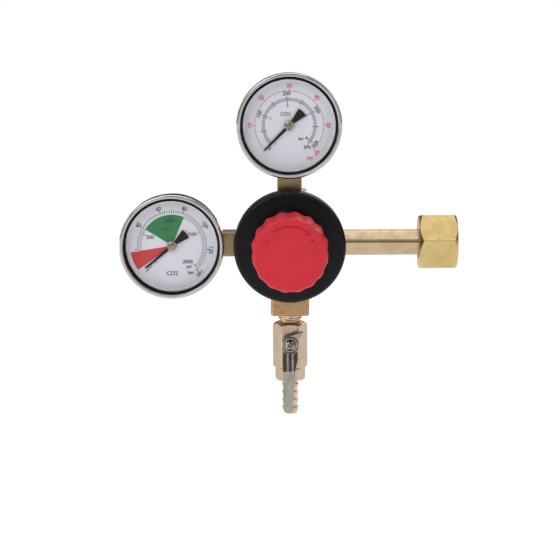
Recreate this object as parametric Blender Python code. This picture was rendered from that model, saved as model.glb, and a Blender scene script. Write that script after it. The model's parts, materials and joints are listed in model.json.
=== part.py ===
"""A dual-gauge carbon dioxide regulator for a beer or soda keg, in separate named pieces.

The frame is in metres: the origin is the centre of the inlet's sealing face, +X points along the
inlet towards the cylinder valve, +Z is up, and the dials and the knob face -Y.
Sizes below are in millimetres, and positions are taken from the regulator's own axis, the line
along Y through the middle of the knob. "Depth" is the distance in front of the port plane, along -Y.
"""

import math

import bmesh
import bpy
from mathutils import Matrix, Vector

MM = 0.001
GAP = 0.3  # between pieces that touch

# Driving sizes, from the regulator's axis
INLET_FACE = 83.3  # sealing face of the inlet washer, along +X
LOW_REACH = 64.8  # axis to the low-pressure gauge's centre
HIGH_REACH = 63.8  # axis to the high-pressure gauge's centre
PORT_FACE = 27.0  # left, top and right port faces
OUTLET_FACE = 40.2  # lower port face
PIPE_THREAD_R = 6.4  # quarter-inch taper pipe thread
PORT_R = 6.7
PORT_FLOOR = 14.0

# Body and bonnet
BODY_R = 25.8
BODY_BACK = -12.0
BODY_RIM = 14.0
CHAMBER_R = 20.0
CHAMBER_FLOOR = 9.0
SEAT_BORE_R = 7.0
SEAT_BORE_FLOOR = -8.0
BONNET_R = 30.2
BONNET_BACK = 9.0
BONNET_SHOULDER = 17.1
BONNET_FACE = 20.2
HEX_BOSS_FLATS = 38.1
HEX_BOSS_TOP = 24.2
HEX_BOSS_TURN = 38.0  # degrees, so that one corner shows past the knob
TURRET_R = 15.0
TURRET_TOP = 41.0
TURRET_BORE_R = 12.2

# Knob and adjusting screw: three and three quarter turns of a 24-per-inch thread
KNOB_R = 20.8
KNOB_FACE_R = 19.3
KNOB_BACK = 28.5
KNOB_FACE = 50.0
KNOB_BORE_R = 16.5
KNOB_CEILING = 45.5
FLUTES = 16
FLUTE_DEPTH = 0.9
FIRST_CREST = 13.0  # degrees
SCREW_R = 4.6
BUTTON_BACK = 32.0

# Inlet
NIPPLE_FLATS = 13.5
NUT_FLATS = 28.6
NUT_START = 70.3
NUT_END = 91.0
NUT_WALL = 5.0
NUT_BORE_R = 9.9
HEX_TURN = 80.0  # degrees, so that a corner of the nipple and of the nut faces forwards and a little up

# Outlet valve, positions downwards from the axis
VALVE_HEX_FLATS = 16.6
VALVE_TOP = 44.1
VALVE_BOTTOM = 69.1
VALVE_STEM = 54.5
BARB_HEX_FLATS = 14.4
BARB_HEX_BOTTOM = 76.5
BARB_END = 95.2
BALL_R = 5.2

# Relief valve, standing on the back of the body
RELIEF_Y = 19.5
RELIEF_SEAT = 8.0
RING_HOLE = 27.6
RING_R = 4.8
RING_WIRE_R = 0.6
RING_DROOP = 6.0  # degrees below level, where the ring lies

# Gauges, depths in front of the stem's axis
CASE_R = 26.5
CASE_BACK = -10.0
CASE_FRONT = 12.8
BEZEL_R = 28.3
DIAL_R = 25.0
DIAL_BACK = 9.0
DIAL_FACE = 9.7
ZERO_ANGLE = 225.0  # degrees, anticlockwise from 3 o'clock as the dial is seen
POINTER_REACH = 19.0
MODULE = 0.3
PINION_TEETH = 12
SECTOR_TEETH = 72  # of a full circle
SECTOR_PIVOT = -(PINION_TEETH + SECTOR_TEETH) * MODULE / 2  # below the pinion
TUBE_R = 19.5
TUBE_DEPTH = -0.8
LINK_PIN = (17.5, -8.5)  # on the tube's tip
TAIL_R = 2.86
TAIL_ANGLE = -99.1  # degrees, of the sector's tail pin at rest

# Facets round a full circle
FINE = 36
MEDIUM = 24
SMALL = 12

# Frames: the local Z of each points along the piece's own axis
FRONT = Matrix.Rotation(math.radians(90), 4, "X")  # local x is +X, local y is +Z, local z is -Y
RIGHT = Matrix.Rotation(math.radians(90), 4, "Y")  # local z is +X
LEFT = Matrix.Rotation(math.radians(-90), 4, "Y")  # local z is -X
DOWN = Matrix.Rotation(math.radians(180), 4, "X")  # local z is -Z, local y is -Y
UP = Matrix.Identity(4)


def place(frame, x=0.0, y=0.0, z=0.0):
    """A frame moved to a point given from the regulator's axis, in millimetres."""
    return Matrix.Translation(Vector((x - INLET_FACE, y, z)) * MM) @ frame


def between(start, end):
    """A frame at start whose local z points to end, both in millimetres from the axis."""
    run = Vector(end) - Vector(start)
    return place(run.to_track_quat("Z", "Y").to_matrix().to_4x4(), *start), run.length


def beside(frame, x, y=0.0):
    """A frame moved sideways along its own x and y, in millimetres."""
    return frame @ Matrix.Translation((x * MM, y * MM, 0))


def turn(degrees):
    return Matrix.Rotation(math.radians(degrees), 4, "Z")


def polar(radius, degrees):
    angle = math.radians(degrees)
    return radius * math.cos(angle), radius * math.sin(angle)


def material(name, colour, roughness, metallic=0.0, alpha=1.0):
    made = bpy.data.materials.new(name)
    made.use_nodes = True
    shader = made.node_tree.nodes["Principled BSDF"]
    shader.inputs["Base Color"].default_value = (*colour, 1.0)
    shader.inputs["Roughness"].default_value = roughness
    shader.inputs["Metallic"].default_value = metallic
    shader.inputs["Alpha"].default_value = alpha
    return made


def clear_scene():
    for obj in list(bpy.data.objects):
        bpy.data.objects.remove(obj)


# Shapes. Each returns (points, faces) in millimetres about its local frame.


def turned(profile, steps):
    """A profile of (radius, height) points turned about local z. It closes on the axis or on itself."""
    points, rings = [], []
    for radius, height in profile:
        if radius == 0:
            rings.append([len(points)] * steps)
            points.append((0.0, 0.0, height))
            continue
        rings.append(list(range(len(points), len(points) + steps)))
        for step in range(steps):
            points.append((*polar(radius, 360 * step / steps), height))
    pairs = list(zip(rings, rings[1:]))
    if profile[0][0] and profile[-1][0]:
        pairs.append((rings[-1], rings[0]))
    faces = []
    for low, high in pairs:
        for step in range(steps):
            after = (step + 1) % steps
            corners = [low[step], low[after], high[after], high[step]]
            face = [c for i, c in enumerate(corners) if c not in corners[:i]]
            if len(face) > 2:
                faces.append(face)
    return points, faces


def rod(radius, start, end, steps=SMALL):
    return turned([(0, start), (radius, start), (radius, end), (0, end)], steps)


def ring(inner, outer, start, end, steps=MEDIUM):
    return turned([(inner, start), (outer, start), (outer, end), (inner, end)], steps)


def extruded(outline, start, end):
    """An outline of (x, y) points drawn along local z."""
    count = len(outline)
    points = [(x, y, height) for height in (start, end) for x, y in outline]
    faces = [list(range(count)), list(range(count, 2 * count))]
    for i in range(count):
        after = (i + 1) % count
        faces.append([i, after, count + after, count + i])
    return points, faces


def swept(stations, section, closed=False):
    """A section, as (along normal, along binormal), carried along (centre, normal, binormal) stations."""
    points, faces, count = [], [], len(section)
    for centre, normal, binormal in stations:
        for a, b in section:
            points.append(tuple(Vector(centre) + a * Vector(normal) + b * Vector(binormal)))
    total = len(stations)
    for i in range(total if closed else total - 1):
        low, high = i * count, ((i + 1) % total) * count
        for j in range(count):
            after = (j + 1) % count
            faces.append([low + j, low + after, high + after, high + j])
    if not closed:
        faces.append(list(range(count)))
        faces.append(list(range((total - 1) * count, total * count)))
    return points, faces


def oval(half_a, half_b, steps):
    circle = [polar(1, 360 * i / steps) for i in range(steps)]
    return [(half_a * x, half_b * y) for x, y in circle]


def globe(radius, rows, steps):
    """A ball about the local frame's origin."""
    profile = [(0, -radius)]
    for row in range(1, rows):
        height, across = polar(radius, 180 - 180 * row / rows)
        profile.append((across, height))
    return turned([*profile, (0, radius)], steps)


def coil(mean_r, wire_r, start, end, turns, steps_per_turn, sides):
    """A helical spring about local z, from one height to the other."""
    stations, total = [], int(turns * steps_per_turn)
    low, high = start + wire_r, end - wire_r
    for i in range(total + 1):
        x, y = polar(1, 360 * i / steps_per_turn)
        height = low + (high - low) * i / total
        stations.append(((x * mean_r, y * mean_r, height), (x, y, 0), (0, 0, 1)))
    return swept(stations, oval(wire_r, wire_r, sides))


def hexagon(flats, first_corner=0.0):
    return [polar(flats / math.sqrt(3), first_corner + 60 * i) for i in range(6)]


def box_outline(x0, x1, y0, y1):
    return [(x0, y0), (x1, y0), (x1, y1), (x0, y1)]


def gear_outline(teeth, first, last, tooth_angle):
    """Involute teeth first to last of a gear, tooth 0 pointing along tooth_angle."""
    addendum, dedendum, thinning = 0.75, 1.1, 0.07
    pitch_r = teeth * MODULE / 2
    base_r = pitch_r * math.cos(math.radians(20))
    root_r = pitch_r - dedendum * MODULE
    tip_r = pitch_r + addendum * MODULE

    def spread(radius):
        if radius <= base_r:
            return 0.0
        roll = math.sqrt((radius / base_r) ** 2 - 1)
        return roll - math.atan(roll)

    half_tooth = (math.pi * MODULE / 2 - thinning) / 2 / pitch_r
    radii = [root_r, max(base_r, root_r + 0.05), pitch_r, tip_r]
    outline = []
    for tooth in range(first, last + 1):
        middle = math.radians(tooth_angle) + 2 * math.pi * tooth / teeth
        flank = [(r, half_tooth + spread(pitch_r) - spread(r)) for r in radii]
        outline += [polar(r, math.degrees(middle - half)) for r, half in flank]
        outline += [polar(r, math.degrees(middle + half)) for r, half in reversed(flank)]
    return outline


# Objects


def make(name, shape, frame, finish=None):
    points, faces = shape
    mesh = bpy.data.meshes.new(name)
    bm = bmesh.new()
    corners = [bm.verts.new(Vector(p) * MM) for p in points]
    for face in faces:
        bm.faces.new([corners[i] for i in face])
    bmesh.ops.recalc_face_normals(bm, faces=bm.faces)
    bm.to_mesh(mesh)
    bm.free()
    mesh.shade_smooth()
    mesh.set_sharp_from_angle(angle=math.radians(35))
    if finish:
        mesh.materials.append(finish)
    obj = bpy.data.objects.new(name, mesh)
    bpy.context.scene.collection.objects.link(obj)
    obj.matrix_world = frame
    return obj


def combine(obj, shape, frame, operation):
    """A Boolean of obj with a helper shape, which stays hidden."""
    helper = make(f"{obj.name}_{operation.lower()}_{len(obj.modifiers)}", shape, frame)
    helper.hide_render = True
    helper.display_type = "WIRE"
    modifier = obj.modifiers.new(operation.title(), "BOOLEAN")
    modifier.operation = operation
    modifier.solver = "EXACT"
    modifier.object = helper
    return obj


def cut(obj, shape, frame):
    return combine(obj, shape, frame, "DIFFERENCE")


def join(obj, shape, frame):
    return combine(obj, shape, frame, "UNION")


def trim(obj, shape, frame):
    return combine(obj, shape, frame, "INTERSECT")


clear_scene()
BRASS = material("brass", (0.62, 0.46, 0.22), 0.32, 1.0)
FORGED_BRASS = material("forged_brass", (0.50, 0.31, 0.13), 0.42, 1.0)
STEEL = material("steel", (0.62, 0.61, 0.60), 0.28, 1.0)
CHROME = material("chrome", (0.82, 0.82, 0.82), 0.08, 1.0)
ZINC = material("zinc_plate", (0.50, 0.48, 0.45), 0.38, 1.0)
BLACK_PLASTIC = material("black_plastic", (0.015, 0.015, 0.017), 0.35)
RED_PLASTIC = material("red_plastic", (0.62, 0.03, 0.05), 0.42)
RUBBER = material("black_rubber", (0.02, 0.02, 0.02), 0.7)
WHITE_PAINT = material("white_paint", (0.78, 0.77, 0.80), 0.5)
BLACK_PAINT = material("black_paint", (0.01, 0.01, 0.01), 0.45)
CLEAR = material("clear_plastic", (0.95, 0.95, 0.95), 0.05, 0.0, 0.25)
WHITE_PLASTIC = material("white_plastic", (0.85, 0.85, 0.82), 0.45)
FIBRE = material("fibre", (0.35, 0.10, 0.08), 0.8)
BRONZE = material("sintered_bronze", (0.45, 0.27, 0.12), 0.75, 1.0)

AXIS = place(FRONT)
INLET = place(RIGHT)
OUTLET = place(DOWN)


# Regulator body, bonnet and knob


def body():
    edge = 1.5
    profile = [
        (0, BODY_BACK), (BODY_R - edge, BODY_BACK), (BODY_R, BODY_BACK + edge), (BODY_R, BODY_RIM),
        (CHAMBER_R, BODY_RIM), (CHAMBER_R, CHAMBER_FLOOR), (SEAT_BORE_R, CHAMBER_FLOOR),
        (SEAT_BORE_R, SEAT_BORE_FLOOR), (0, SEAT_BORE_FLOOR),
    ]
    made = make("body", turned(profile, FINE), AXIS, FORGED_BRASS)
    boss_back, boss_front, boss_half = -10.0, 8.5, 9.6
    outlet_half, inside = 10.5, 12.0
    for degrees in (0, 90, 180):
        outline = box_outline(inside, PORT_FACE, -boss_half, boss_half)
        join(made, extruded(outline, boss_back, boss_front), AXIS @ turn(degrees))
    outline = box_outline(inside, OUTLET_FACE, -outlet_half, outlet_half)
    join(made, extruded(outline, boss_back, boss_front), AXIS @ turn(270))
    block_half, block_back, block_foot = 8.5, 27.0, -5.0
    outline = box_outline(-block_half, block_half, -block_back, BODY_BACK + 1.0)
    join(made, extruded(outline, -RELIEF_SEAT, -block_foot), place(DOWN))
    ports = ((INLET, PORT_FACE), (place(UP), PORT_FACE), (place(LEFT), PORT_FACE), (OUTLET, OUTLET_FACE))
    for frame, face in ports:
        cut(made, rod(PORT_R, PORT_FLOOR, face + 5, MEDIUM), frame)
    relief_bore_r, relief_floor = 4.0, -2.0
    cut(made, rod(relief_bore_r, relief_floor, RELIEF_SEAT + 3, 16), place(UP, 0, RELIEF_Y, 0))
    high_pressure_r, low_pressure_r, relief_r = 1.5, 1.5, 1.0
    cut(made, rod(high_pressure_r, -PORT_FLOOR - 1, PORT_FLOOR + 1, 10), place(RIGHT, 0, 4.2, 0))
    for side in (1, -1):
        frame, length = between((0, 2.6, side * 16.4), (0, -11.0, side * 12.0))
        cut(made, rod(low_pressure_r, 0, length), frame)
    frame, length = between((0, 3.0, 15.5), (0, RELIEF_Y, 1.0))
    cut(made, rod(relief_r, 0, length), frame)
    return made


def bonnet():
    thread_r, throat_r, turret_ceiling = 26.4, 19.0, 38.0
    outside = [
        (0, BONNET_BACK), (BONNET_R, BONNET_BACK), (BONNET_R, 18.2), (29.6, 19.6), (28.2, BONNET_FACE),
        (20.5, 20.8), (TURRET_R, 20.8), (TURRET_R, TURRET_TOP - 1), (TURRET_R - 1, TURRET_TOP),
        (0, TURRET_TOP),
    ]
    inside = [
        (0, BONNET_BACK - 2), (thread_r, BONNET_BACK - 2), (thread_r, BONNET_SHOULDER),
        (throat_r, BONNET_SHOULDER), (throat_r, 19.0), (TURRET_BORE_R, 22.0),
        (TURRET_BORE_R, turret_ceiling), (SEAT_BORE_R, turret_ceiling),
        (SEAT_BORE_R, TURRET_TOP + 2), (0, TURRET_TOP + 2),
    ]
    made = make("bonnet", turned(outside, FINE), AXIS, BLACK_PLASTIC)
    join(made, extruded(hexagon(HEX_BOSS_FLATS, HEX_BOSS_TURN), 19.5, HEX_BOSS_TOP), AXIS)
    return cut(made, turned(inside, FINE), AXIS)


def bonnet_insert():
    flange_r, body_r, bore_r = 10.5, SEAT_BORE_R - GAP, SCREW_R + GAP
    back, flange_top = 35.6, 37.7
    profile = [
        (bore_r, back), (flange_r, back), (flange_r, flange_top), (body_r, flange_top), (body_r, TURRET_TOP),
        (bore_r, TURRET_TOP),
    ]
    return make("bonnet_insert", turned(profile, MEDIUM), AXIS, BRASS)


def knob():
    """A hollow cap whose side has shallow scallops that run out at the face's rounded edge."""
    per_flute = 4
    steps = FLUTES * per_flute
    levels = [  # height, radius, share of the flutes' depth
        (KNOB_BACK, KNOB_R, 1.0), (47.6, KNOB_FACE_R + 0.5, 1.0), (49.4, KNOB_FACE_R - 0.2, 0.5),
        (KNOB_FACE, KNOB_FACE_R - 1.4, 0.0),
    ]
    points, faces, rings = [], [], []
    for height, radius, share in levels:
        rings.append(len(points))
        for step in range(steps):
            wave = 0.5 - 0.5 * math.cos(2 * math.pi * step / per_flute)
            angle = FIRST_CREST + 360 * step / steps
            points.append((*polar(radius - share * FLUTE_DEPTH * wave, angle), height))
    for height in (KNOB_CEILING, KNOB_BACK):
        rings.append(len(points))
        points += [(*polar(KNOB_BORE_R, 360 * step / steps), height) for step in range(steps)]
    order = rings + rings[:1]
    for low, high in zip(order, order[1:]):
        if (low, high) == (rings[3], rings[4]):
            faces += [list(range(low, low + steps)), list(range(high, high + steps))]
            continue
        for step in range(steps):
            after = (step + 1) % steps
            faces.append([low + step, low + after, high + after, high + step])
    made = make("knob", (points, faces), AXIS, RED_PLASTIC)
    return cut(made, rod(SCREW_R + GAP, KNOB_CEILING - 1, 48.6, MEDIUM), AXIS)


def adjusting_screw():
    pilot_r, pilot_top, top, edge = 2.6, 35.2, 48.3, 0.6
    profile = [
        (0, 33.4), (pilot_r, 33.4), (pilot_r, pilot_top), (SCREW_R - edge, pilot_top),
        (SCREW_R, pilot_top + edge), (SCREW_R, top - edge), (SCREW_R - edge, top), (0, top),
    ]
    return make("adjusting_screw", turned(profile, MEDIUM), AXIS, STEEL)


def spring_button():
    boss_r, flange_r, socket_r, front = 7.3, 11.3, 3.2, 34.4
    profile = [
        (0, 30.2), (boss_r, 30.2), (boss_r, BUTTON_BACK), (flange_r, BUTTON_BACK), (flange_r, front),
        (socket_r, front), (socket_r, 33.1), (0, 33.1),
    ]
    return make("spring_button", turned(profile, MEDIUM), AXIS, STEEL)


def diaphragm_stack():
    make("adjusting_spring", coil(9.4, 1.35, 17.5, BUTTON_BACK - GAP, 3.75, 14, 6), AXIS, STEEL)
    profile = [
        (0, 11.7), (5.5, 11.7), (5.5, 14.0), (2.1, 14.0), (2.1, 15.8), (11.5, 15.8), (11.5, 17.2), (0, 17.2),
    ]
    make("diaphragm_plate", turned(profile, MEDIUM), AXIS, BRASS)
    make("diaphragm", ring(2.4, 25.4, 14.3, 15.5, FINE), AXIS, RUBBER)
    make("slip_ring", ring(20.3, 25.4, 15.8, 16.8, FINE), AXIS, STEEL)


def seat_stack():
    orifice_r = 1.5
    nozzle = make("seat_nozzle", extruded(hexagon(14.0), CHAMBER_FLOOR + GAP, 10.5), AXIS, BRASS)
    join(nozzle, rod(SEAT_BORE_R - GAP, 3.5, 9.8, MEDIUM), AXIS)
    cut(nozzle, rod(orifice_r, 2.5, 12.0), AXIS)
    profile = [(0, -0.6), (2.2, -0.6), (2.2, 0.6), (4.4, 0.6), (4.4, 1.6), (0.9, 1.6), (0.9, 11.4), (0, 11.4)]
    make("poppet", turned(profile, 16), AXIS, BRASS)
    make("poppet_seat", ring(1.2, 4.0, 1.9, 3.2, 16), AXIS, WHITE_PLASTIC)
    make("poppet_spring", coil(3.1, 0.4, -7.7, 0.3, 4, 9, 5), AXIS, STEEL)


# Inlet


def inlet():
    bore_r, pocket_r, pocket, flange_r, flange, nose = 2.0, 3.2, 71.0, 9.3, 76.1, 81.8
    bar = extruded(hexagon(NIPPLE_FLATS, HEX_TURN), PORT_FACE + GAP, flange + 0.5)
    nipple = make("inlet_nipple", bar, INLET, BRASS)
    thread = [(0, 15.2), (5.9, 15.2), (PIPE_THREAD_R, 16.2), (PIPE_THREAD_R, 28.0), (0, 28.0)]
    join(nipple, turned(thread, MEDIUM), INLET)
    tail = [(0, flange), (flange_r, flange), (flange_r, nose - 1.2), (flange_r - 1.1, nose), (0, nose)]
    join(nipple, turned(tail, MEDIUM), INLET)
    passage = [(0, 14), (bore_r, 14), (bore_r, pocket), (pocket_r, pocket), (pocket_r, 84), (0, 84)]
    cut(nipple, turned(passage, 16), INLET)
    make("inlet_filter", rod(pocket_r - GAP, pocket + 0.4, 81.0, 16), INLET, BRONZE)
    make("inlet_washer", ring(3.6, 9.0, nose + GAP, INLET_FACE), INLET, FIBRE)


def inlet_nut():
    chamfer, beyond, back_bore_r, mouth_r = 2.4, 18.0, 8.3, 10.8
    flats_r = NUT_FLATS / 2 + 0.2
    nut = make("inlet_nut", extruded(hexagon(NUT_FLATS, HEX_TURN), NUT_START, NUT_END), INLET, BRASS)
    blank = [
        (0, NUT_START), (flats_r - 0.6, NUT_START), (flats_r + chamfer, NUT_START + chamfer),
        (beyond, NUT_START + chamfer + 1), (beyond, NUT_END - chamfer - 1),
        (flats_r + chamfer, NUT_END - chamfer), (flats_r - 0.6, NUT_END), (0, NUT_END),
    ]
    trim(nut, turned(blank, FINE), INLET)
    bore = [
        (0, NUT_START - 1), (back_bore_r, NUT_START - 1), (back_bore_r, NUT_START + NUT_WALL),
        (NUT_BORE_R, NUT_START + NUT_WALL), (NUT_BORE_R, NUT_END - 1.4), (mouth_r, NUT_END + 0.1),
        (mouth_r, NUT_END + 1), (0, NUT_END + 1),
    ]
    cut(nut, turned(bore, MEDIUM), INLET)


# Outlet shut-off valve and hose barb


FLOW_R = 2.4
STEM = place(FRONT, 0, 0, -VALVE_STEM)
BALL_CENTRE = place(UP, 0, 0, -VALVE_STEM)


def valve_body():
    hex_r, cavity_r = VALVE_HEX_FLATS / 2 + 0.2, 6.2
    shell = make("valve_body", extruded(hexagon(VALVE_HEX_FLATS), VALVE_TOP, VALVE_BOTTOM), OUTLET, BRASS)
    blank = [
        (0, VALVE_TOP - 1), (hex_r - 1.6, VALVE_TOP - 0.1), (hex_r + 1, VALVE_TOP + 1.6),
        (11, VALVE_TOP + 2.6), (11, VALVE_BOTTOM - 2), (hex_r + 1, VALVE_BOTTOM - 1),
        (hex_r - 0.2, VALVE_BOTTOM + 0.1), (0, VALVE_BOTTOM + 1),
    ]
    trim(shell, turned(blank, MEDIUM), OUTLET)
    neck = [
        (0, 29), (5.9, 29), (PIPE_THREAD_R, 30), (PIPE_THREAD_R, 40.8), (6.1, 41.4), (5.7, 42.6),
        (7.0, VALVE_TOP + 0.2), (0, VALVE_TOP + 1),
    ]
    join(shell, turned(neck, MEDIUM), OUTLET)
    join(shell, rod(4.4, 7.0, 11.0, 20), STEM)
    passage = [(0, 28), (FLOW_R, 28), (FLOW_R, 48.5), (cavity_r, 48.5), (cavity_r, 71), (0, 71)]
    cut(shell, turned(passage, MEDIUM), OUTLET)
    stem_hole = [(0, 4.0), (2.6, 4.0), (2.6, 8.6), (3.6, 8.6), (3.6, 12), (0, 12)]
    cut(shell, turned(stem_hole, 16), STEM)


def valve_ball():
    slot_half, slot_floor = 1.0, 3.7
    ball = make("valve_ball", globe(BALL_R, 8, 16), BALL_CENTRE, CHROME)
    cut(ball, rod(FLOW_R, -7, 7), BALL_CENTRE)
    cut(ball, extruded(box_outline(-slot_half, slot_half, -8, 8), slot_floor, 7), STEM)
    outer, far, near = 5.9, 5.7, 3.9  # the seats' radius, and their distances from the ball's centre
    for name, side in (("ball_seat_upper", 1), ("ball_seat_lower", -1)):
        profile = [(3.0, side * far), (outer, side * far), (outer, side * near), (near, side * near)]
        make(name, turned(profile, 20), BALL_CENTRE, WHITE_PLASTIC)


def valve_stem():
    tang_half, square_half, stem_r, screw_hole_r = 0.7, 1.6, 2.3, 1.25
    stem = make("valve_stem", rod(stem_r, 5.5, 11.2, 16), STEM, STEEL)
    join(stem, extruded(box_outline(-tang_half, tang_half, -2.1, 2.1), 4.0, 6.0), STEM)
    square = box_outline(-square_half, square_half, -square_half, square_half)
    join(stem, extruded(square, 11.0, 12.9), STEM)
    cut(stem, rod(screw_hole_r, 7.0, 14), STEM)
    make("stem_packing", ring(2.5, 3.4, 8.8, 10.6, 16), STEM, WHITE_PLASTIC)
    shank_r, head_r, seat = 0.95, 2.9, 13.3
    screw = [
        (0, 8.0), (shank_r, 8.0), (shank_r, seat), (head_r, seat), (head_r, seat + 1.0), (2.1, 15.2),
        (0, 15.4),
    ]
    make("lever_screw", turned(screw, 16), STEM, CHROME)


def lever():
    """A bent strip: the outline seen from the front, kept where it meets the strip seen from the side."""
    length, half_end, end_steps = 36.8, 3.3, 6
    outline = []
    for i in range(end_steps + 1):
        x, y = polar(half_end, -180 * i / end_steps)
        outline.append((x, y - (length - half_end)))
    outline += [(-3.4, -12.0), (-4.1, -4.0), (-4.2, 0.0), (-3.3, 3.9)]
    outline += [(7.2, 7.4), (4.5, 1.6), (4.2, -3.0), (3.4, -12.0)]
    made = make("lever", extruded(outline, 10.0, 18.0), STEM, ZINC)
    near, far, thick = 11.4, 15.0, 1.5
    side = [
        (near, 9.0), (near, -6.0), (far, -13.0), (far, -40.0), (far + thick, -40.0), (far + thick, -12.4),
        (near + thick, -5.4), (near + thick, 9.0),
    ]
    trim(made, extruded(side, -12.0, 12.0), STEM @ LEFT)
    hole_half = 1.9
    cut(made, extruded(box_outline(-hole_half, hole_half, -hole_half, hole_half), 10, 14), STEM)


def hose_barb():
    thread_r, neck_r, check_r, bore_r, ball_r = 5.9, 4.2, 3.4, 2.4, 2.6
    hex_r = BARB_HEX_FLATS / 2 + 0.2
    bar = extruded(hexagon(BARB_HEX_FLATS), VALVE_BOTTOM + GAP, BARB_HEX_BOTTOM)
    barb = make("hose_barb", bar, OUTLET, BRASS)
    blank = [
        (0, VALVE_BOTTOM), (11, VALVE_BOTTOM), (11, BARB_HEX_BOTTOM - 1.8), (hex_r - 0.6, BARB_HEX_BOTTOM),
        (0, BARB_HEX_BOTTOM),
    ]
    trim(barb, turned(blank, MEDIUM), OUTLET)
    root_r, crest_r, barbs, first = 3.75, 4.55, 4, 78.0
    pitch = (BARB_END - first) / barbs
    profile = [
        (0, 61.0), (thread_r, 61.0), (thread_r, VALVE_BOTTOM + 1), (neck_r, VALVE_BOTTOM + 1),
        (neck_r, first),
    ]
    for i in range(barbs):
        profile += [(crest_r, first + pitch * i + 0.4), (root_r, first + pitch * (i + 1))]
    profile.append((0, BARB_END))
    join(barb, turned(profile, MEDIUM), OUTLET)
    passage = [
        (0, 60), (1.8, 60), (1.8, 62.6), (check_r, 63.6), (check_r, 68.0), (bore_r, 69.0), (bore_r, 97),
        (0, 97),
    ]
    cut(barb, turned(passage, 16), OUTLET)
    cut(barb, extruded(box_outline(-3.2, 3.2, -0.8, 0.8), 67.0, 71.0), OUTLET)
    make("check_ball", globe(ball_r, 6, 12), place(UP, 0, 0, -67.3), RUBBER)


# Relief valve


def relief_valve():
    frame = place(UP, 0, RELIEF_Y, 0)
    thread_r, barrel_r, bore_r, hole_r, top = 3.7, 4.6, 3.5, 1.6, 26.1
    shell = make("relief_body", extruded(hexagon(11.0, 30), RELIEF_SEAT + GAP, 14.0), frame, BRASS)
    join(shell, rod(thread_r, -1.6, 9.0, 16), frame)
    barrel = [(0, 13.0), (barrel_r, 13.0), (barrel_r, top - 0.4), (barrel_r - 0.4, top), (0, top)]
    join(shell, turned(barrel, MEDIUM), frame)
    passage = [
        (0, -3), (1.2, -3), (1.2, 3.6), (bore_r, 3.6), (bore_r, 24.3), (hole_r, 24.3), (hole_r, 28), (0, 28),
    ]
    cut(shell, turned(passage, 16), frame)
    disc_r, stem_r, head_top = 3.0, 1.2, 29.6
    profile = [(0, 4.0), (disc_r, 4.0), (disc_r, 5.8), (stem_r, 5.8), (stem_r, 27.0), (0, 27.0)]
    stem = make("relief_stem", turned(profile, 16), frame, BRASS)
    join(stem, extruded(box_outline(-1.7, 1.7, -1.0, 1.0), 26.4, head_top), frame)
    cut(stem, rod(0.95, -4, 4), place(FRONT, 0, RELIEF_Y, RING_HOLE))
    make("relief_spring", coil(2.3, 0.35, 6.1, 24.0, 5.5, 9, 5), frame, STEEL)


def relief_ring():
    """The pull ring, laid down to the right, with its wire through the stem's hole."""
    stations, steps = [], 28
    for i in range(steps):
        x, y = polar(1, 180 + 360 * i / steps)
        stations.append((((1 + x) * RING_R, y * RING_R, 0), (x, y, 0), (0, 0, 1)))
    wire = oval(RING_WIRE_R, RING_WIRE_R, 6)
    laid = Matrix.Rotation(math.radians(RING_DROOP), 4, "Y")
    make("relief_ring", swept(stations, wire, closed=True), place(laid, 0, RELIEF_Y, RING_HOLE), STEEL)


# Gauges


def gauge_shell(name, front, inner, rest_angle):
    wall, edge = 1.0, 1.2
    cup = [
        (0, CASE_BACK), (CASE_R - edge, CASE_BACK), (CASE_R, CASE_BACK + edge), (CASE_R, CASE_FRONT),
        (CASE_R - wall, CASE_FRONT), (CASE_R - wall, CASE_BACK + edge), (0, CASE_BACK + edge),
    ]
    case = make(f"{name}_case", turned(cup, FINE), front, CHROME)
    cut(case, rod(5.0, 20, 30, MEDIUM), inner @ FRONT)
    back, top, bore_r, lip_r = 8.0, 16.2, 26.9, 26.0
    rim = [
        (bore_r, back), (BEZEL_R - 0.5, back), (BEZEL_R, back + 0.8), (BEZEL_R, 13.4), (BEZEL_R - 0.6, 15.2),
        (BEZEL_R - 1.2, top), (lip_r + 0.7, top), (lip_r, top - 0.8), (bore_r, top - 0.8),
    ]
    make(f"{name}_bezel", turned(rim, FINE), front, CHROME)
    make(f"{name}_lens", rod(26.3, 13.1, 14.4, FINE), front, CLEAR)
    make(f"{name}_gasket", ring(24.4, 26.5, 14.6, 15.1, FINE), front, RUBBER)
    dial = make(f"{name}_dial", ring(2.0, DIAL_R, DIAL_BACK, DIAL_FACE, FINE), front, WHITE_PAINT)
    stop_pin = beside(front, *polar(12.5, rest_angle + 7))
    join(dial, rod(0.4, DIAL_BACK + 0.2, 11.0, 8), stop_pin)


def gauge_socket(name, inner, reach):
    """The brass stem: pipe thread, square shank, and the block that holds the tube inside the case."""
    frame = inner @ FRONT
    square, neck_r, bore_r, shank_start = 6.65, 4.6, 1.4, 26.9
    shank_end, end = reach - PORT_FACE - GAP, reach - PORT_FLOOR - 0.5
    shank = extruded(box_outline(-square, square, -square, square), shank_start, shank_end)
    made = make(f"{name}_socket", shank, frame, BRASS)
    thread = [
        (0, shank_end - 0.2), (PIPE_THREAD_R, shank_end - 0.2), (PIPE_THREAD_R, end - 1.0), (5.9, end),
        (0, end),
    ]
    join(made, turned(thread, MEDIUM), frame)
    join(made, rod(neck_r, 23.5, shank_start + 0.3, 16), frame)
    join(made, extruded(box_outline(-6.5, 6.5, -4.5, 3.0), 14.0, 24.0), frame)
    cut(made, rod(bore_r, 18.0, end + 1.0), frame)


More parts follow.
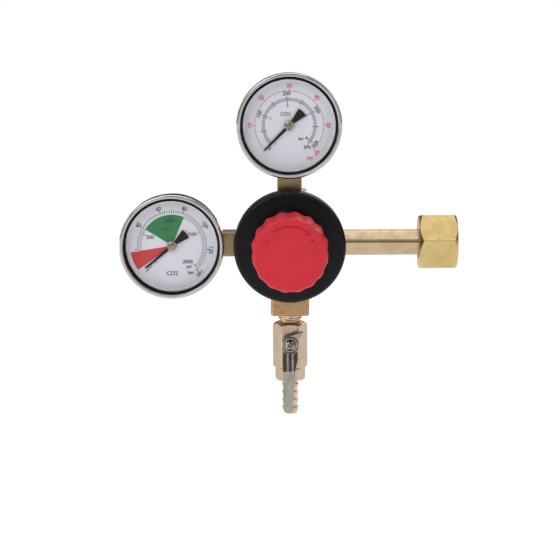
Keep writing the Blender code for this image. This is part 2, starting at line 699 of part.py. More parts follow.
def gauge_tube(name, inner):
    """A flattened tube bent round to a C, open at both ends, and the tip that the link hangs on."""
    start, end, steps = 248.0, -20.0, 18
    sides = 8
    wall = 0.35
    half_thick, half_wide = 0.95, 3.2
    outer, hollow = oval(half_thick, half_wide, sides), oval(half_thick - wall, half_wide - wall, sides)
    points, faces = [], []
    for i in range(steps + 1):
        x, y = polar(1, start + (end - start) * i / steps)
        for a, b in outer + hollow:
            points.append(((TUBE_R + a) * x, (TUBE_R + a) * y, TUBE_DEPTH + b))
    per = 2 * sides
    for i in range(steps):
        for base in (0, sides):
            for j in range(sides):
                after = (j + 1) % sides
                low, high = i * per + base, (i + 1) * per + base
                faces.append([low + j, low + after, high + after, high + j])
    for i in (0, steps):
        for j in range(sides):
            after = (j + 1) % sides
            low = i * per
            faces.append([low + j, low + after, low + sides + after, low + sides + j])
    make(f"{name}_tube", (points, faces), inner, BRASS)
    tip_frame = beside(inner, *LINK_PIN) @ turn(-26)
    tip = make(f"{name}_tube_tip", extruded(box_outline(-1.4, 1.5, -1.6, 1.6), -4.0, 5.6), tip_frame, BRASS)
    join(tip, rod(0.5, 5.0, 7.5, 8), tip_frame)


def gauge_movement(name, inner):
    """Two plates on four pillars, with the staff's and the sector's bearing holes."""
    pillars = [(-7.0, -16.0), (7.6, -18.6), (-7.0, 2.2), (7.0, 2.2)]
    outline = [(-8.4, -18.0), (-2.0, -20.0), (9.0, -20.0), (9.0, -16.0), (8.6, 3.8), (-8.6, 3.8)]
    plates = make(f"{name}_movement", extruded(outline, 3.3, 4.1), inner, BRASS)
    join(plates, extruded(outline, 8.0, 8.6), inner)
    for x, y in pillars:
        join(plates, rod(0.9, 3.8, 8.2, 8), beside(inner, x, y))
    for y in (0.0, SECTOR_PIVOT):
        cut(plates, rod(1.05, 2, 10, 10), beside(inner, 0, y))


def gauge_gears(name, inner):
    """The pinion on the needle's staff, and the sector that drives it."""
    teeth_down = 270.0
    teeth = gear_outline(PINION_TEETH, 0, PINION_TEETH - 1, teeth_down)
    pinion = make(f"{name}_pinion", extruded(teeth, 4.8, 6.2), inner, BRASS)
    join(pinion, rod(0.7, 3.5, 11.6, 10), inner)

    pivot = beside(inner, 0, SECTOR_PIVOT)
    half_pitch = 180 / SECTOR_TEETH
    first_tooth, last_tooth, foot = -10, 1, TAIL_R * -1.45
    outline = gear_outline(SECTOR_TEETH, first_tooth, last_tooth, 90.0 - half_pitch)
    outline += [(-1.7, 1.2), (-1.9, -0.6), (-1.7, foot), (0.8, foot), (1.9, -0.6)]
    sector = make(f"{name}_sector", extruded(outline, 5.0, 6.0), pivot, BRASS)
    join(sector, rod(0.7, 3.5, 8.4, 10), pivot)
    join(sector, rod(0.4, 5.5, 7.5, 8), beside(pivot, *polar(TAIL_R, TAIL_ANGLE)))


def gauge_hairspring(name, inner):
    turns, steps_per_turn, first_r, last_r, depth = 3, 12, 1.3, 4.3, 7.0
    stations, total = [], turns * steps_per_turn
    for i in range(total + 1):
        x, y = polar(1, 360 * i / steps_per_turn)
        radius = first_r + (last_r - first_r) * i / total
        stations.append(((x * radius, y * radius, depth), (x, y, 0), (0, 0, 1)))
    strip = box_outline(-0.1, 0.1, -0.25, 0.25)
    make(f"{name}_hairspring", swept(stations, strip), inner, STEEL)


def gauge_link(name, inner):
    """A flat link from the tube's tip to the sector's tail pin, with an eye at each end."""
    tail_point = Vector((0, SECTOR_PIVOT)) + Vector(polar(TAIL_R, TAIL_ANGLE))
    run = tail_point - Vector(LINK_PIN)
    frame = beside(inner, *LINK_PIN) @ turn(math.degrees(math.atan2(run.y, run.x)))
    eye_r, hole_r, half_bar, neck = 1.5, 0.85, 0.8, 2.5
    strip = [polar(eye_r, degrees) for degrees in range(45, 316, 45)]
    strip += [(run.length - x, -y) for x, y in strip]
    link = make(f"{name}_link", extruded(strip, 6.35, 7.1), frame, STEEL)
    for side in (1, -1):
        outline = [(x, side * y) for x, y in box_outline(neck, run.length - neck, half_bar, 4.0)]
        cut(link, extruded(outline, 5.5, 8.0), frame)
    for x in (0, run.length):
        cut(link, rod(hole_r, 5.5, 8.0, 10), beside(frame, x))


def gauge_needle(name, front, rest_angle):
    """A tapered pointer with a fan-shaped tail, drawn along local x."""
    frame = front @ turn(rest_angle)
    hub_r, tail_r, tail_spread = 2.6, 10.4, 15.5
    outline = [(POINTER_REACH, -0.35), (POINTER_REACH, 0.35), (2.2, 1.0), (-2.4, 1.1)]
    outline += [polar(tail_r, 180 - tail_spread + tail_spread * 2 * i / 4) for i in range(5)]
    outline += [(-2.4, -1.1), (2.2, -1.0)]
    made = make(f"{name}_needle", extruded(outline, 10.3, 10.9), frame, BLACK_PAINT)
    join(made, turned([(0, 10.1), (hub_r, 10.1), (hub_r, 11.3), (1.9, 12.3), (0, 12.3)], 20), frame)
    cut(made, rod(0.95, 9, 11.9, 10), frame)


def gauge(name, x, z, stem_turn, rest_angle):
    """stem_turn is how far the stem is turned from straight down, anticlockwise as the dial is seen.

    rest_angle is where the needle rests on its stop pin.
    """
    front = place(FRONT, x, 0, z)
    inner = front @ turn(stem_turn)
    gauge_shell(name, front, inner, rest_angle)
    gauge_socket(name, inner, math.hypot(x, z))
    gauge_tube(name, inner)
    gauge_movement(name, inner)
    gauge_gears(name, inner)
    gauge_hairspring(name, inner)
    gauge_link(name, inner)
    gauge_needle(name, front, rest_angle)


body()
bonnet()
bonnet_insert()
knob()
adjusting_screw()
spring_button()
diaphragm_stack()
seat_stack()
inlet()
inlet_nut()
valve_body()
valve_ball()
valve_stem()
lever()
hose_barb()
relief_valve()
relief_ring()
gauge("low_gauge", 0, LOW_REACH, 0, ZERO_ANGLE)
gauge("high_gauge", -HIGH_REACH, 0, 90, ZERO_ANGLE - 4.6)
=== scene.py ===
"""The looks of a dual-gauge carbon dioxide regulator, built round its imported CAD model.

Shapes are drawn in millimetres in a local frame, and make() turns them into metres. Positions are
measured from the regulator's own axis, the line along Y through the middle of the knob, and "depth"
is the distance in front of the ports, along -Y.
"""

import json
import math

import bmesh
import bpy
from mathutils import Matrix, Vector


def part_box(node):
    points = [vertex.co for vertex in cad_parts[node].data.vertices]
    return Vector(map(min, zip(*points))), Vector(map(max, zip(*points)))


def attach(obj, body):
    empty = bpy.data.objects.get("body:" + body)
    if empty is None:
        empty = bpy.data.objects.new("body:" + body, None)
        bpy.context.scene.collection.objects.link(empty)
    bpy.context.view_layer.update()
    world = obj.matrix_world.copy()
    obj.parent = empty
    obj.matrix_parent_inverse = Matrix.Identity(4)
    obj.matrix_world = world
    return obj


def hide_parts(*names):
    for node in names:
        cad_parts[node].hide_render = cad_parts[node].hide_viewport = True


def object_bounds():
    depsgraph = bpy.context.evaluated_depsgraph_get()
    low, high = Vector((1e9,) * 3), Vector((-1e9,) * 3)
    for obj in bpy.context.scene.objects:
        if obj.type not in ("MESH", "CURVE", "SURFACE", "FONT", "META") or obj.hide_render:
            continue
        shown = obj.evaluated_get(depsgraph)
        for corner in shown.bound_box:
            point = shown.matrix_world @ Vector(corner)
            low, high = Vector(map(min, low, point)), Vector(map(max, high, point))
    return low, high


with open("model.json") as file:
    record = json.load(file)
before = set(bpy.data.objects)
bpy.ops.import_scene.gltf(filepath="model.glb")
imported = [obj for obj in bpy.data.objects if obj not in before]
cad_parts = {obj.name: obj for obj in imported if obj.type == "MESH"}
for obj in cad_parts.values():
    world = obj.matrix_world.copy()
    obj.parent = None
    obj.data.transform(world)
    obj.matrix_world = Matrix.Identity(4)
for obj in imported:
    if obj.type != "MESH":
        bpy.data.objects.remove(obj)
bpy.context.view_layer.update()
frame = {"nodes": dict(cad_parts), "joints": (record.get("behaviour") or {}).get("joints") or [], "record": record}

MM = 0.001
INCH = 25.4
JOINTS = {joint["name"]: joint for joint in frame["joints"]}
KNOB_POINT = Vector(JOINTS["knob_turn"]["pos_m"])
AXIS_POINT = Vector((KNOB_POINT.x, 0.0, KNOB_POINT.z))

# Steps round a full circle
FINE = 128
MEDIUM = 64
SMALL = 32


def turn(degrees, axis="Z"):
    return Matrix.Rotation(math.radians(degrees), 4, axis)


# Frames: the local Z of each points along the piece's own axis
FRONT = turn(90, "X")  # local x is +X, local y is +Z, local z is -Y
RIGHT = turn(90, "Y")
LEFT = turn(-90, "Y")
DOWN = turn(180, "X")  # local x is +X, local y is -Y
UP = Matrix.Identity(4)


def place(way, x=0.0, y=0.0, z=0.0):
    """A frame that points one way, at a point in millimetres from the regulator's axis."""
    return Matrix.Translation(AXIS_POINT + Vector((x, y, z)) * MM) @ way


def shift(x, y, z=0.0):
    return Matrix.Translation(Vector((x, y, z)) * MM)


AXIS = place(FRONT)
INLET = place(RIGHT)
OUTLET = place(DOWN)


def span(node, matrix):
    """A CAD node's lowest and highest places along a frame's Z, and its reach along X, in millimetres."""
    corners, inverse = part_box(node), matrix.inverted()
    local = [inverse @ Vector((x.x, y.y, z.z)) / MM for x in corners for y in corners for z in corners]
    heights = [point.z for point in local]
    return min(heights), max(heights), max(point.x for point in local)


def polar(radius, degrees):
    angle = math.radians(degrees)
    return radius * math.cos(angle), radius * math.sin(angle)


# Outlines


def rounded(corners, segments=4):
    """A closed outline. A corner given as (x, y, radius) becomes an arc, and (x, y) stays sharp."""
    points = []
    for i, corner in enumerate(corners):
        here = Vector(corner[:2])
        if len(corner) == 2:
            points.append(tuple(here))
            continue
        before = (Vector(corners[i - 1][:2]) - here).normalized()
        after = (Vector(corners[(i + 1) % len(corners)][:2]) - here).normalized()
        half = before.angle(after) / 2
        centre = here + (before + after).normalized() * corner[2] / math.sin(half)
        start = here + before * corner[2] / math.tan(half) - centre
        end = here + after * corner[2] / math.tan(half) - centre
        sweep = start.angle(end)
        for step in range(segments + 1):
            share = step / segments
            arm = (start * math.sin((1 - share) * sweep) + end * math.sin(share * sweep)) / math.sin(sweep)
            points.append(tuple(centre + arm))
    return points


def rectangle(x0, x1, y0, y1, corner=0.0, inset=0.0):
    """A rectangle drawn in by an inset, with rounded corners that shrink with it."""
    left, right, low, high = x0 + inset, x1 - inset, y0 + inset, y1 - inset
    corners = [(left, low), (right, low), (right, high), (left, high)]
    radius = max(corner - inset, 0.02)
    return rounded([(*point, radius) for point in corners]) if corner else corners


def hexagon(flats, first_corner=0.0, corner=0.4):
    return rounded([(*polar(flats / math.sqrt(3), first_corner + 60 * i), corner) for i in range(6)])


# Shapes: (points, faces) in millimetres about a local frame


def turned(profile, steps=MEDIUM):
    """A profile of (radius, height) points turned about local z. It closes on the axis or on itself."""
    points, rings = [], []
    for radius, height in profile:
        if radius == 0:
            rings.append([len(points)] * steps)
            points.append((0.0, 0.0, height))
            continue
        rings.append(list(range(len(points), len(points) + steps)))
        for step in range(steps):
            points.append((*polar(radius, 360 * step / steps), height))
    pairs = list(zip(rings, rings[1:]))
    if profile[0][0] and profile[-1][0]:
        pairs.append((rings[-1], rings[0]))
    faces = []
    for low, high in pairs:
        for step in range(steps):
            after = (step + 1) % steps
            corners = [low[step], low[after], high[after], high[step]]
            face = [c for i, c in enumerate(corners) if c not in corners[:i]]
            if len(face) > 2:
                faces.append(face)
    return points, faces


def rod(radius, start, end, steps=SMALL):
    return turned([(0, start), (radius, start), (radius, end), (0, end)], steps)


def lathe(corners, steps=MEDIUM, segments=4):
    """A turned shape whose profile has rounded corners. Its first and last corners may lie on the axis."""
    return turned(rounded(corners, segments), steps)


def stacked(rings):
    """A skin over rings of points, one above the other, with a flat face on each end."""
    count = len(rings[0])
    points = [point for row in rings for point in row]
    last = (len(rings) - 1) * count
    faces = [list(range(count)), list(range(last, last + count))]
    for level in range(len(rings) - 1):
        for i in range(count):
            after = (i + 1) % count
            low, high = level * count, (level + 1) * count
            faces.append([low + i, low + after, high + after, high + i])
    return points, faces


def prism(outline, start, end):
    """An outline of (x, y) points drawn along local z."""
    return stacked([[(*point, height) for point in outline] for height in (start, end)])


def block(sides, corner, start, end, low_edge, high_edge, segments=4):
    """A rectangular bar with rounded corners and rounded end edges. Its sides are (x0, x1, y0, y1)."""
    rows = []
    if low_edge:
        for i in range(segments):
            sine, cosine = polar(low_edge, 90 * i / segments)[::-1]
            rows.append((low_edge - sine, start + low_edge - cosine))
    rows += [(0.0, start + low_edge), (0.0, end - high_edge)]
    if high_edge:
        for i in range(1, segments + 1):
            cosine, sine = polar(high_edge, 90 * i / segments)
            rows.append((high_edge - cosine, end - high_edge + sine))
    return stacked([[(*xy, height) for xy in rectangle(*sides, corner, inset)] for inset, height in rows])


def helix(radius, start, pitch, turns, section, steps=48):
    """A section of (outwards, upwards) points carried along a helix about local z."""
    rings = []
    for i in range(int(turns * steps) + 1):
        height = start + pitch * i / steps
        rings.append([(*polar(radius + out, 360 * i / steps), height + up) for out, up in section])
    return stacked(rings)


def moved(shape, matrix):
    points, faces = shape
    return [tuple(matrix @ Vector(point)) for point in points], faces


def merged(shapes):
    points, faces = [], []
    for more_points, more_faces in shapes:
        base = len(points)
        points += more_points
        faces += [[base + i for i in face] for face in more_faces]
    return points, faces


# Objects


def smooth(mesh, degrees=32):
    mesh.shade_smooth()
    mesh.set_sharp_from_angle(angle=math.radians(degrees))


def add_object(name, data):
    obj = bpy.data.objects.new(name, data)
    bpy.context.scene.collection.objects.link(obj)
    return obj


def make(name, shape, matrix, finish=None, weld=1e-6):
    """An object in metres from a shape in millimetres. Points closer than the weld distance are joined."""
    points, faces = shape
    mesh = bpy.data.meshes.new(name)
    bm = bmesh.new()
    corners = [bm.verts.new(Vector(point) * MM) for point in points]
    for face in faces:
        bm.faces.new([corners[i] for i in face])
    if weld:
        bmesh.ops.remove_doubles(bm, verts=bm.verts, dist=weld)
    bmesh.ops.recalc_face_normals(bm, faces=bm.faces)
    bm.to_mesh(mesh)
    bm.free()
    smooth(mesh)
    if finish:
        mesh.materials.append(finish)
    obj = add_object(name, mesh)
    obj.matrix_world = matrix
    return obj


def evaluated_mesh(obj):
    bpy.context.view_layer.update()
    return bpy.data.meshes.new_from_object(obj.evaluated_get(bpy.context.evaluated_depsgraph_get()))


def settle(obj):
    """Turns an object's modifiers into its mesh."""
    mesh = evaluated_mesh(obj)
    obj.modifiers.clear()
    obj.data = mesh
    return obj


def combine(obj, operation, shape, matrix):
    helper = make("helper", shape, matrix)
    modifier = obj.modifiers.new(operation, "BOOLEAN")
    modifier.operation = operation
    modifier.solver = "EXACT"
    modifier.object = helper
    settle(obj)
    bpy.data.objects.remove(helper)
    smooth(obj.data)
    return obj


def cut(obj, shape, matrix):
    return combine(obj, "DIFFERENCE", shape, matrix)


def join(obj, shape, matrix):
    return combine(obj, "UNION", shape, matrix)


def trim(obj, shape, matrix):
    return combine(obj, "INTERSECT", shape, matrix)


def absorb(obj, part, matrix):
    """Joins another object that stands in the given frame, and removes it."""
    points = [tuple(vertex.co / MM) for vertex in part.data.vertices]
    faces = [list(polygon.vertices) for polygon in part.data.polygons]
    join(obj, (points, faces), matrix)
    bpy.data.objects.remove(part)


def soften(obj, width, segments=2, degrees=35):
    """Rounds the edges that are sharper than an angle."""
    modifier = obj.modifiers.new("Soften", "BEVEL")
    modifier.width = width * MM
    modifier.segments = segments
    modifier.limit_method = "ANGLE"
    modifier.angle_limit = math.radians(degrees)
    settle(obj)
    smooth(obj.data)
    return obj


def flatten(obj):
    """Makes flat faces shade flat beside rounded edges."""
    modifier = obj.modifiers.new("Flatten", "WEIGHTED_NORMAL")
    modifier.keep_sharp = True
    modifier.weight = 100
    return settle(obj)


def fit(obj, slot, *nodes, body="regulator"):
    """Lets a finished piece ride on a body and stand for CAD nodes."""
    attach(flatten(obj), body)
    if nodes:
        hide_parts(*nodes)
    return obj


# Materials. Texture scales are in repeats per metre, over the piece's own coordinates.

RIB_X = 1.35  # millimetres from the middle of the lever to the middle of each rib
MIX_UNDER, MIX_OVER, MIX_RESULT = 6, 7, 2  # the colour sockets of a Mix node
WHITE = (1.0, 1.0, 1.0, 1.0)


def new_material(name, colour, roughness, metallic=0.0):
    made = bpy.data.materials.new(name)
    made.use_nodes = True
    shader = made.node_tree.nodes["Principled BSDF"]
    shader.inputs["Base Color"].default_value = (*colour, 1.0)
    shader.inputs["Roughness"].default_value = roughness
    shader.inputs["Metallic"].default_value = metallic
    return made


def shader_of(made):
    return made.node_tree.nodes["Principled BSDF"]


def give(made, socket, value):
    """Links a socket to another node's output, or sets its value."""
    if isinstance(value, bpy.types.NodeSocket):
        made.node_tree.links.new(value, socket)
    else:
        socket.default_value = value


def new_node(made, kind, given=None):
    """A node in a material or a world. Each given input is a value or another node's output."""
    node = made.node_tree.nodes.new("ShaderNode" + kind)
    for name, value in (given or {}).items():
        give(made, node.inputs[name], value)
    return node


def grain(made, scale, detail=3.0, stretch=(1.0, 1.0, 1.0)):
    """Noise from 0 to 1, drawn out along the axes where stretch is small."""
    point = new_node(made, "TexCoord").outputs["Object"]
    mapped = new_node(made, "Mapping", {"Vector": point, "Scale": stretch}).outputs["Vector"]
    return new_node(made, "TexNoise", {"Vector": mapped, "Scale": scale, "Detail": detail}).outputs["Fac"]


def cells(made, scale):
    """Distance to the nearest of many scattered points, 0 on the point."""
    point = new_node(made, "TexCoord").outputs["Object"]
    return new_node(made, "TexVoronoi", {"Vector": point, "Scale": scale}).outputs["Distance"]


def spread(made, pattern, low, high, to_low=0.0, to_high=1.0):
    """A pattern's values from low to high, stretched from to_low to to_high."""
    limits = {"From Min": low, "From Max": high, "To Min": to_low, "To Max": to_high}
    return new_node(made, "MapRange", {"Value": pattern, **limits}).outputs["Result"]


def worked_out(made, operation, *values):
    node = new_node(made, "Math")
    node.operation = operation
    for socket, value in zip(node.inputs, values):
        give(made, socket, value)
    return node.outputs["Value"]


def blend(made, share, under, over):
    """A colour between two, by a share from 0 to 1."""
    node = new_node(made, "Mix", {"Factor": share})
    node.data_type = "RGBA"
    give(made, node.inputs[MIX_UNDER], under)
    give(made, node.inputs[MIX_OVER], over)
    return node.outputs[MIX_RESULT]


def tint(made, share, colour):
    """Mixes a colour over what the material has."""
    base = shader_of(made).inputs["Base Color"]
    under = base.links[0].from_socket if base.links else tuple(base.default_value)
    give(made, base, blend(made, share, under, (*colour, 1.0)))


def emboss(made, height, distance):
    """Adds a bump of a real height in millimetres."""
    normal = shader_of(made).inputs["Normal"]
    bump = new_node(made, "Bump", {"Height": height, "Distance": distance * MM, "Strength": 1.0})
    if normal.links:
        give(made, bump.inputs["Normal"], normal.links[0].from_socket)
    give(made, normal, bump.outputs["Normal"])


def surface(name, colour, roughness, stains=(), wear=None, bumps=(), metallic=0.0, specular=0.5):
    """A material with stains over its colour, uneven roughness and bumps, all from noise.

    A noise is (scale, detail) or (scale, detail, stretch). Stains are (noise, low, high, share, colour),
    wear is (noise, low, high, least roughness, most roughness), and bumps are (noise, height in mm).
    """
    made = new_material(name, colour, roughness, metallic)
    shader_of(made).inputs["Specular IOR Level"].default_value = specular
    for noise, low, high, share, stain in stains:
        tint(made, spread(made, grain(made, *noise), low, high, 0.0, share), stain)
    if wear:
        give(made, shader_of(made).inputs["Roughness"], spread(made, grain(made, *wear[0]), *wear[1:]))
    for noise, height in bumps:
        emboss(made, grain(made, *noise), height)
    return made


def brass(name, colour, stain, roughness=0.26, along=(1.0, 1.0, 1.0), dents=0.0):
    """Machined brass: tool lines drawn out along the axes where along is small, stains and dents."""
    dark = [channel * 0.55 for channel in stain]
    made = surface(
        name, colour, roughness, [((90, 4), 0.46, 0.68, 0.75, stain), ((420, 3), 0.60, 0.74, 0.35, dark)],
        ((240, 4), 0.3, 0.7, roughness - 0.06, roughness + 0.10),
        [((1800, 2, along), 0.012), ((160, 2), 0.05)], 1.0,
    )
    if dents:
        emboss(made, spread(made, cells(made, 190), 0.0, 0.16), dents)
    return made


def chrome(name, colour, roughness=0.06):
    smudges = (130, 5)
    dull = [channel * 0.75 for channel in colour]
    return surface(
        name, colour, roughness, [(smudges, 0.45, 0.75, 0.25, dull)],
        (smudges, 0.35, 0.75, roughness, roughness + 0.09), [((2600, 2, (1.0, 1.0, 0.1)), 0.002)], 1.0,
    )


def zinc_plate(name):
    made = surface(
        name, (0.35, 0.325, 0.29), 0.36, [((520, 5), 0.42, 0.66, 1.0, (0.25, 0.225, 0.19))],
        ((800, 4), 0.3, 0.7, 0.28, 0.48), [((1500, 4), 0.02)], 1.0,
    )
    tint(made, spread(made, cells(made, 900), 0.1, 0.6, 0.0, 0.3), (0.45, 0.42, 0.375))
    return made


def lever_zinc():
    """Zinc plate with painted shade beside the lever's ribs and in a ring round its hub."""
    made = zinc_plate("lever_zinc")
    point = new_node(made, "TexCoord").outputs["Object"]
    x, y = new_node(made, "SeparateXYZ", {"Vector": point}).outputs[:2]

    def step(value, low, high):
        return spread(made, value, low * MM, high * MM)

    def product(first, second):
        return worked_out(made, "MULTIPLY", first, second)

    across = worked_out(made, "ABSOLUTE", x)
    from_rib = worked_out(made, "ABSOLUTE", worked_out(made, "SUBTRACT", across, RIB_X * MM))
    along_ribs = product(step(y, -3.4, -4.6), step(y, -14.4, -14.0))
    painted_rib_shade = product(along_ribs, step(from_rib, 0.4, 0.7))
    from_screw = worked_out(made, "SQRT", worked_out(made, "ADD", product(x, x), product(y, y)))
    painted_hub_shade = product(step(from_screw, 3.9, 4.1), step(from_screw, 4.9, 4.5))
    # Painted shade: the zinc is darkened in the hollows beside the ribs and in a ring round the hub, where shade
    # falls.
    tint(made, worked_out(made, "MAXIMUM", painted_rib_shade, painted_hub_shade), (0.085, 0.07, 0.06))
    return made


def red_plastic():
    made = surface(
        "red_plastic", (0.57, 0.016, 0.034), 0.44, [((170, 5), 0.45, 0.72, 0.5, (0.48, 0.014, 0.028))],
        ((420, 4), 0.3, 0.7, 0.38, 0.52), [((2600, 3), 0.016), ((300, 2), 0.03)], specular=0.32,
    )
    shader = shader_of(made)
    shader.inputs["Subsurface Weight"].default_value = 0.12
    shader.inputs["Subsurface Radius"].default_value = (1.0, 0.12, 0.10)
    shader.inputs["Subsurface Scale"].default_value = 1.5 * MM
    return made


def ink(name, colour):
    """Printed ink, a little thinner in places."""
    thin = [channel * 0.7 + 0.06 for channel in colour]
    return surface(name, colour, 0.5, [((1500, 3), 0.55, 0.8, 0.35, thin)], None, [((2600, 2), 0.004)])


def clear_plastic():
    """A flat lens: see-through head on, and mirror-like at a glancing angle."""
    made = bpy.data.materials.new("clear_plastic")
    made.use_nodes = True
    nodes = made.node_tree.nodes
    nodes.remove(nodes["Principled BSDF"])
    facing = new_node(made, "LayerWeight").outputs["Facing"]
    mirror_share = spread(made, worked_out(made, "POWER", facing, 5.0), 0.0, 1.0, 0.01, 1.0)
    through = new_node(made, "BsdfTransparent", {"Color": (0.985, 0.988, 0.99, 1.0)})
    smears = spread(made, grain(made, 90, 3), 0.4, 0.7, 0.02, 0.05)
    gloss = new_node(made, "BsdfGlossy", {"Roughness": smears})
    mixed = new_node(made, "MixShader", {"Fac": mirror_share})
    for socket, part in zip(mixed.inputs[1:], (through, gloss)):
        give(made, socket, part.outputs["BSDF"])
    give(made, nodes["Material Output"].inputs["Surface"], mixed.outputs["Shader"])
    return made


def sintered_bronze():
    made = new_material("sintered_bronze", (0.46, 0.28, 0.13), 0.6, 1.0)
    grains = cells(made, 3200)
    tint(made, spread(made, grains, 0.2, 0.7), (0.16, 0.09, 0.04))
    emboss(made, spread(made, grains, 0.7, 0.1), 0.12)
    return made


ALONG_Z = (1.0, 1.0, 0.02)
NUT_BRASS = brass("nut_brass", (0.49, 0.37, 0.16), (0.42, 0.29, 0.12), 0.33, (1.0, 1.0, 0.5), 0.10)
BAR_BRASS = brass("bar_brass", (0.43, 0.335, 0.21), (0.36, 0.255, 0.15), 0.24, ALONG_Z)
VALVE_BRASS = brass("valve_brass", (0.51, 0.395, 0.285), (0.43, 0.30, 0.21), 0.25, ALONG_Z)
# Painted shade: a darker copy of the brass for the gauge stems, which sit in shade under the gauges and bonnet.
# The needles' staff ends use it too.
SHADE_DARKENED_BRASS = brass("shade_darkened_brass", (0.33, 0.24, 0.13), (0.24, 0.16, 0.08), 0.32, (1.0, 1.0, 0.06))
INNER_BRASS = brass("inner_brass", (0.80, 0.60, 0.28), (0.68, 0.48, 0.22), 0.28, (1.0, 1.0, 0.06))
FORGED_BRASS = surface(
    "forged_brass", (0.46, 0.28, 0.135), 0.40,
    [((110, 5), 0.42, 0.66, 1.0, (0.41, 0.28, 0.15)), ((300, 4), 0.56, 0.72, 0.7, (0.27, 0.14, 0.06))],
    ((200, 5), 0.3, 0.7, 0.34, 0.52), [((900, 4), 0.03), ((220, 2), 0.10)], 1.0,
)
CHROME = chrome("chrome", (0.44, 0.43, 0.42), 0.04)
SCREW_STEEL = chrome("screw_steel", (0.24, 0.22, 0.20), 0.12)
STAINLESS = chrome("stainless", (0.66, 0.65, 0.64), 0.16)
NICKEL = chrome("nickel", (0.34, 0.31, 0.27), 0.2)
STEEL = surface(
    "steel", (0.58, 0.57, 0.55), 0.28, [((260, 4), 0.5, 0.75, 0.5, (0.36, 0.35, 0.34))],
    ((700, 3), 0.3, 0.7, 0.22, 0.38), [((2400, 2, (1.0, 1.0, 0.08)), 0.006)], 1.0,
)
ZINC = zinc_plate("zinc_plate")
LEVER_ZINC_WITH_PAINTED_SHADE = lever_zinc()
BLACK_ENAMEL = surface(
    "black_enamel", (0.0045, 0.0042, 0.005), 0.33, [((150, 4), 0.5, 0.8, 0.6, (0.008, 0.0075, 0.009))],
    ((180, 4), 0.3, 0.7, 0.24, 0.36), [((750, 3), 0.018)], specular=0.16,
)
RED_PLASTIC = red_plastic()
BLACK_RUBBER = surface(
    "black_rubber", (0.005, 0.005, 0.005), 0.72, [((1400, 4), 0.55, 0.8, 0.6, (0.012, 0.012, 0.012))],
    None, [((1900, 3), 0.02)], specular=0.15,
)
DIAL_ENAMEL = surface(
    "dial_enamel", (0.74, 0.735, 0.80), 0.42, [((60, 3), 0.4, 0.7, 0.5, (0.70, 0.70, 0.75))],
    ((500, 3), 0.3, 0.7, 0.36, 0.48), [((1600, 2), 0.004)],
)
BLACK_INK = ink("black_ink", (0.006, 0.006, 0.012))
RED_INK = ink("red_ink", (0.62, 0.03, 0.035))
GREEN_INK = ink("green_ink", (0.015, 0.20, 0.06))
NEEDLE_PAINT = surface(
    "needle_paint", (0.004, 0.004, 0.004), 0.4, [((500, 3), 0.55, 0.8, 0.4, (0.01, 0.009, 0.009))],
    None, [((1800, 3), 0.01)], specular=0.15,
)
CLEAR = clear_plastic()
WHITE_PLASTIC = surface(
    "white_plastic", (0.82, 0.81, 0.77), 0.42, [((200, 3), 0.45, 0.75, 0.5, (0.74, 0.73, 0.68))],
    None, [((1700, 3), 0.01)],
)
FIBRES = (1.0, 0.2, 1.0)
FIBRE = surface(
    "fibre", (0.34, 0.10, 0.075), 0.8, [((1300, 5, FIBRES), 0.42, 0.66, 1.0, (0.22, 0.055, 0.04))],
    None, [((1500, 4, FIBRES), 0.04)],
)
BRONZE = sintered_bronze()

# What each material slot of the CAD model looks like where its own nodes still show
CAD_FINISHES = {
    "brass": INNER_BRASS, "forged_brass": FORGED_BRASS, "steel": STEEL, "chrome": CHROME, "zinc": ZINC,
    "black_plastic": BLACK_ENAMEL, "red_plastic": RED_PLASTIC, "white_plastic": WHITE_PLASTIC,
    "white_paint": DIAL_ENAMEL, "black_paint": NEEDLE_PAINT, "rubber": BLACK_RUBBER, "clear": CLEAR,
    "fibre": FIBRE, "bronze": BRONZE,
}


def finish_cad_nodes():
    for subpart in frame["record"]["subparts"]:
        node = frame["nodes"][subpart["node"]]
        node.data.materials.clear()
        node.data.materials.append(CAD_FINISHES[subpart["material_slot"]])
        smooth(node.data)


# Regulator body, bonnet and knob

BODY_R = 25.8
BODY_BACK = -12.0
BOSS_BACK = -10.0
BOSS_FRONT = 8.5
BOSS_HALF = 9.6
OUTLET_HALF = 10.5
PORT_FACE = 27.0
OUTLET_FACE = 39.5
PORT_R = 6.7
PORT_FLOOR = 14.0


def body():
    chamber_r, chamber_floor, rim = 20.0, 9.0, 14.0
    profile = [
        (0, BODY_BACK), (13.0, BODY_BACK, 1.0), (14.0, BODY_BACK + 1.2, 1.0), (BODY_R, BODY_BACK + 1.2, 3.0),
        (BODY_R, rim, 0.4), (chamber_r, rim, 0.3), (chamber_r, chamber_floor), (0, chamber_floor),
    ]
    made = make("regulator_body", lathe(profile, FINE), AXIS, FORGED_BRASS)
    inside = 12.0
    for matrix, half, face in (
        (INLET @ turn(90), BOSS_HALF, PORT_FACE), (place(LEFT) @ turn(-90), BOSS_HALF, PORT_FACE),
        (place(UP), BOSS_HALF, PORT_FACE), (OUTLET @ turn(180), OUTLET_HALF, OUTLET_FACE),
    ):
        join(made, block((-half, half, -BOSS_FRONT, -BOSS_BACK), 1.6, inside, face, 0.0, 1.1), matrix)
        past = face + 0.6
        mouth = [(0, PORT_FLOOR), (PORT_R, PORT_FLOOR), (PORT_R, face - 0.8), (PORT_R + 1.4, past), (0, past)]
        cut(made, turned(mouth), matrix)
    half, back, top, foot = 8.5, 27.0, 8.0, -5.0
    join(made, block((-half, half, 10.0, back), 2.0, foot, top, 1.5, 0.8), place(UP))
    relief_y, relief_bore_r = 19.5, 4.0
    cut(made, rod(relief_bore_r, -2.0, top + 3), place(UP, 0, relief_y, 0))
    fit(made, "forged_brass", "body")


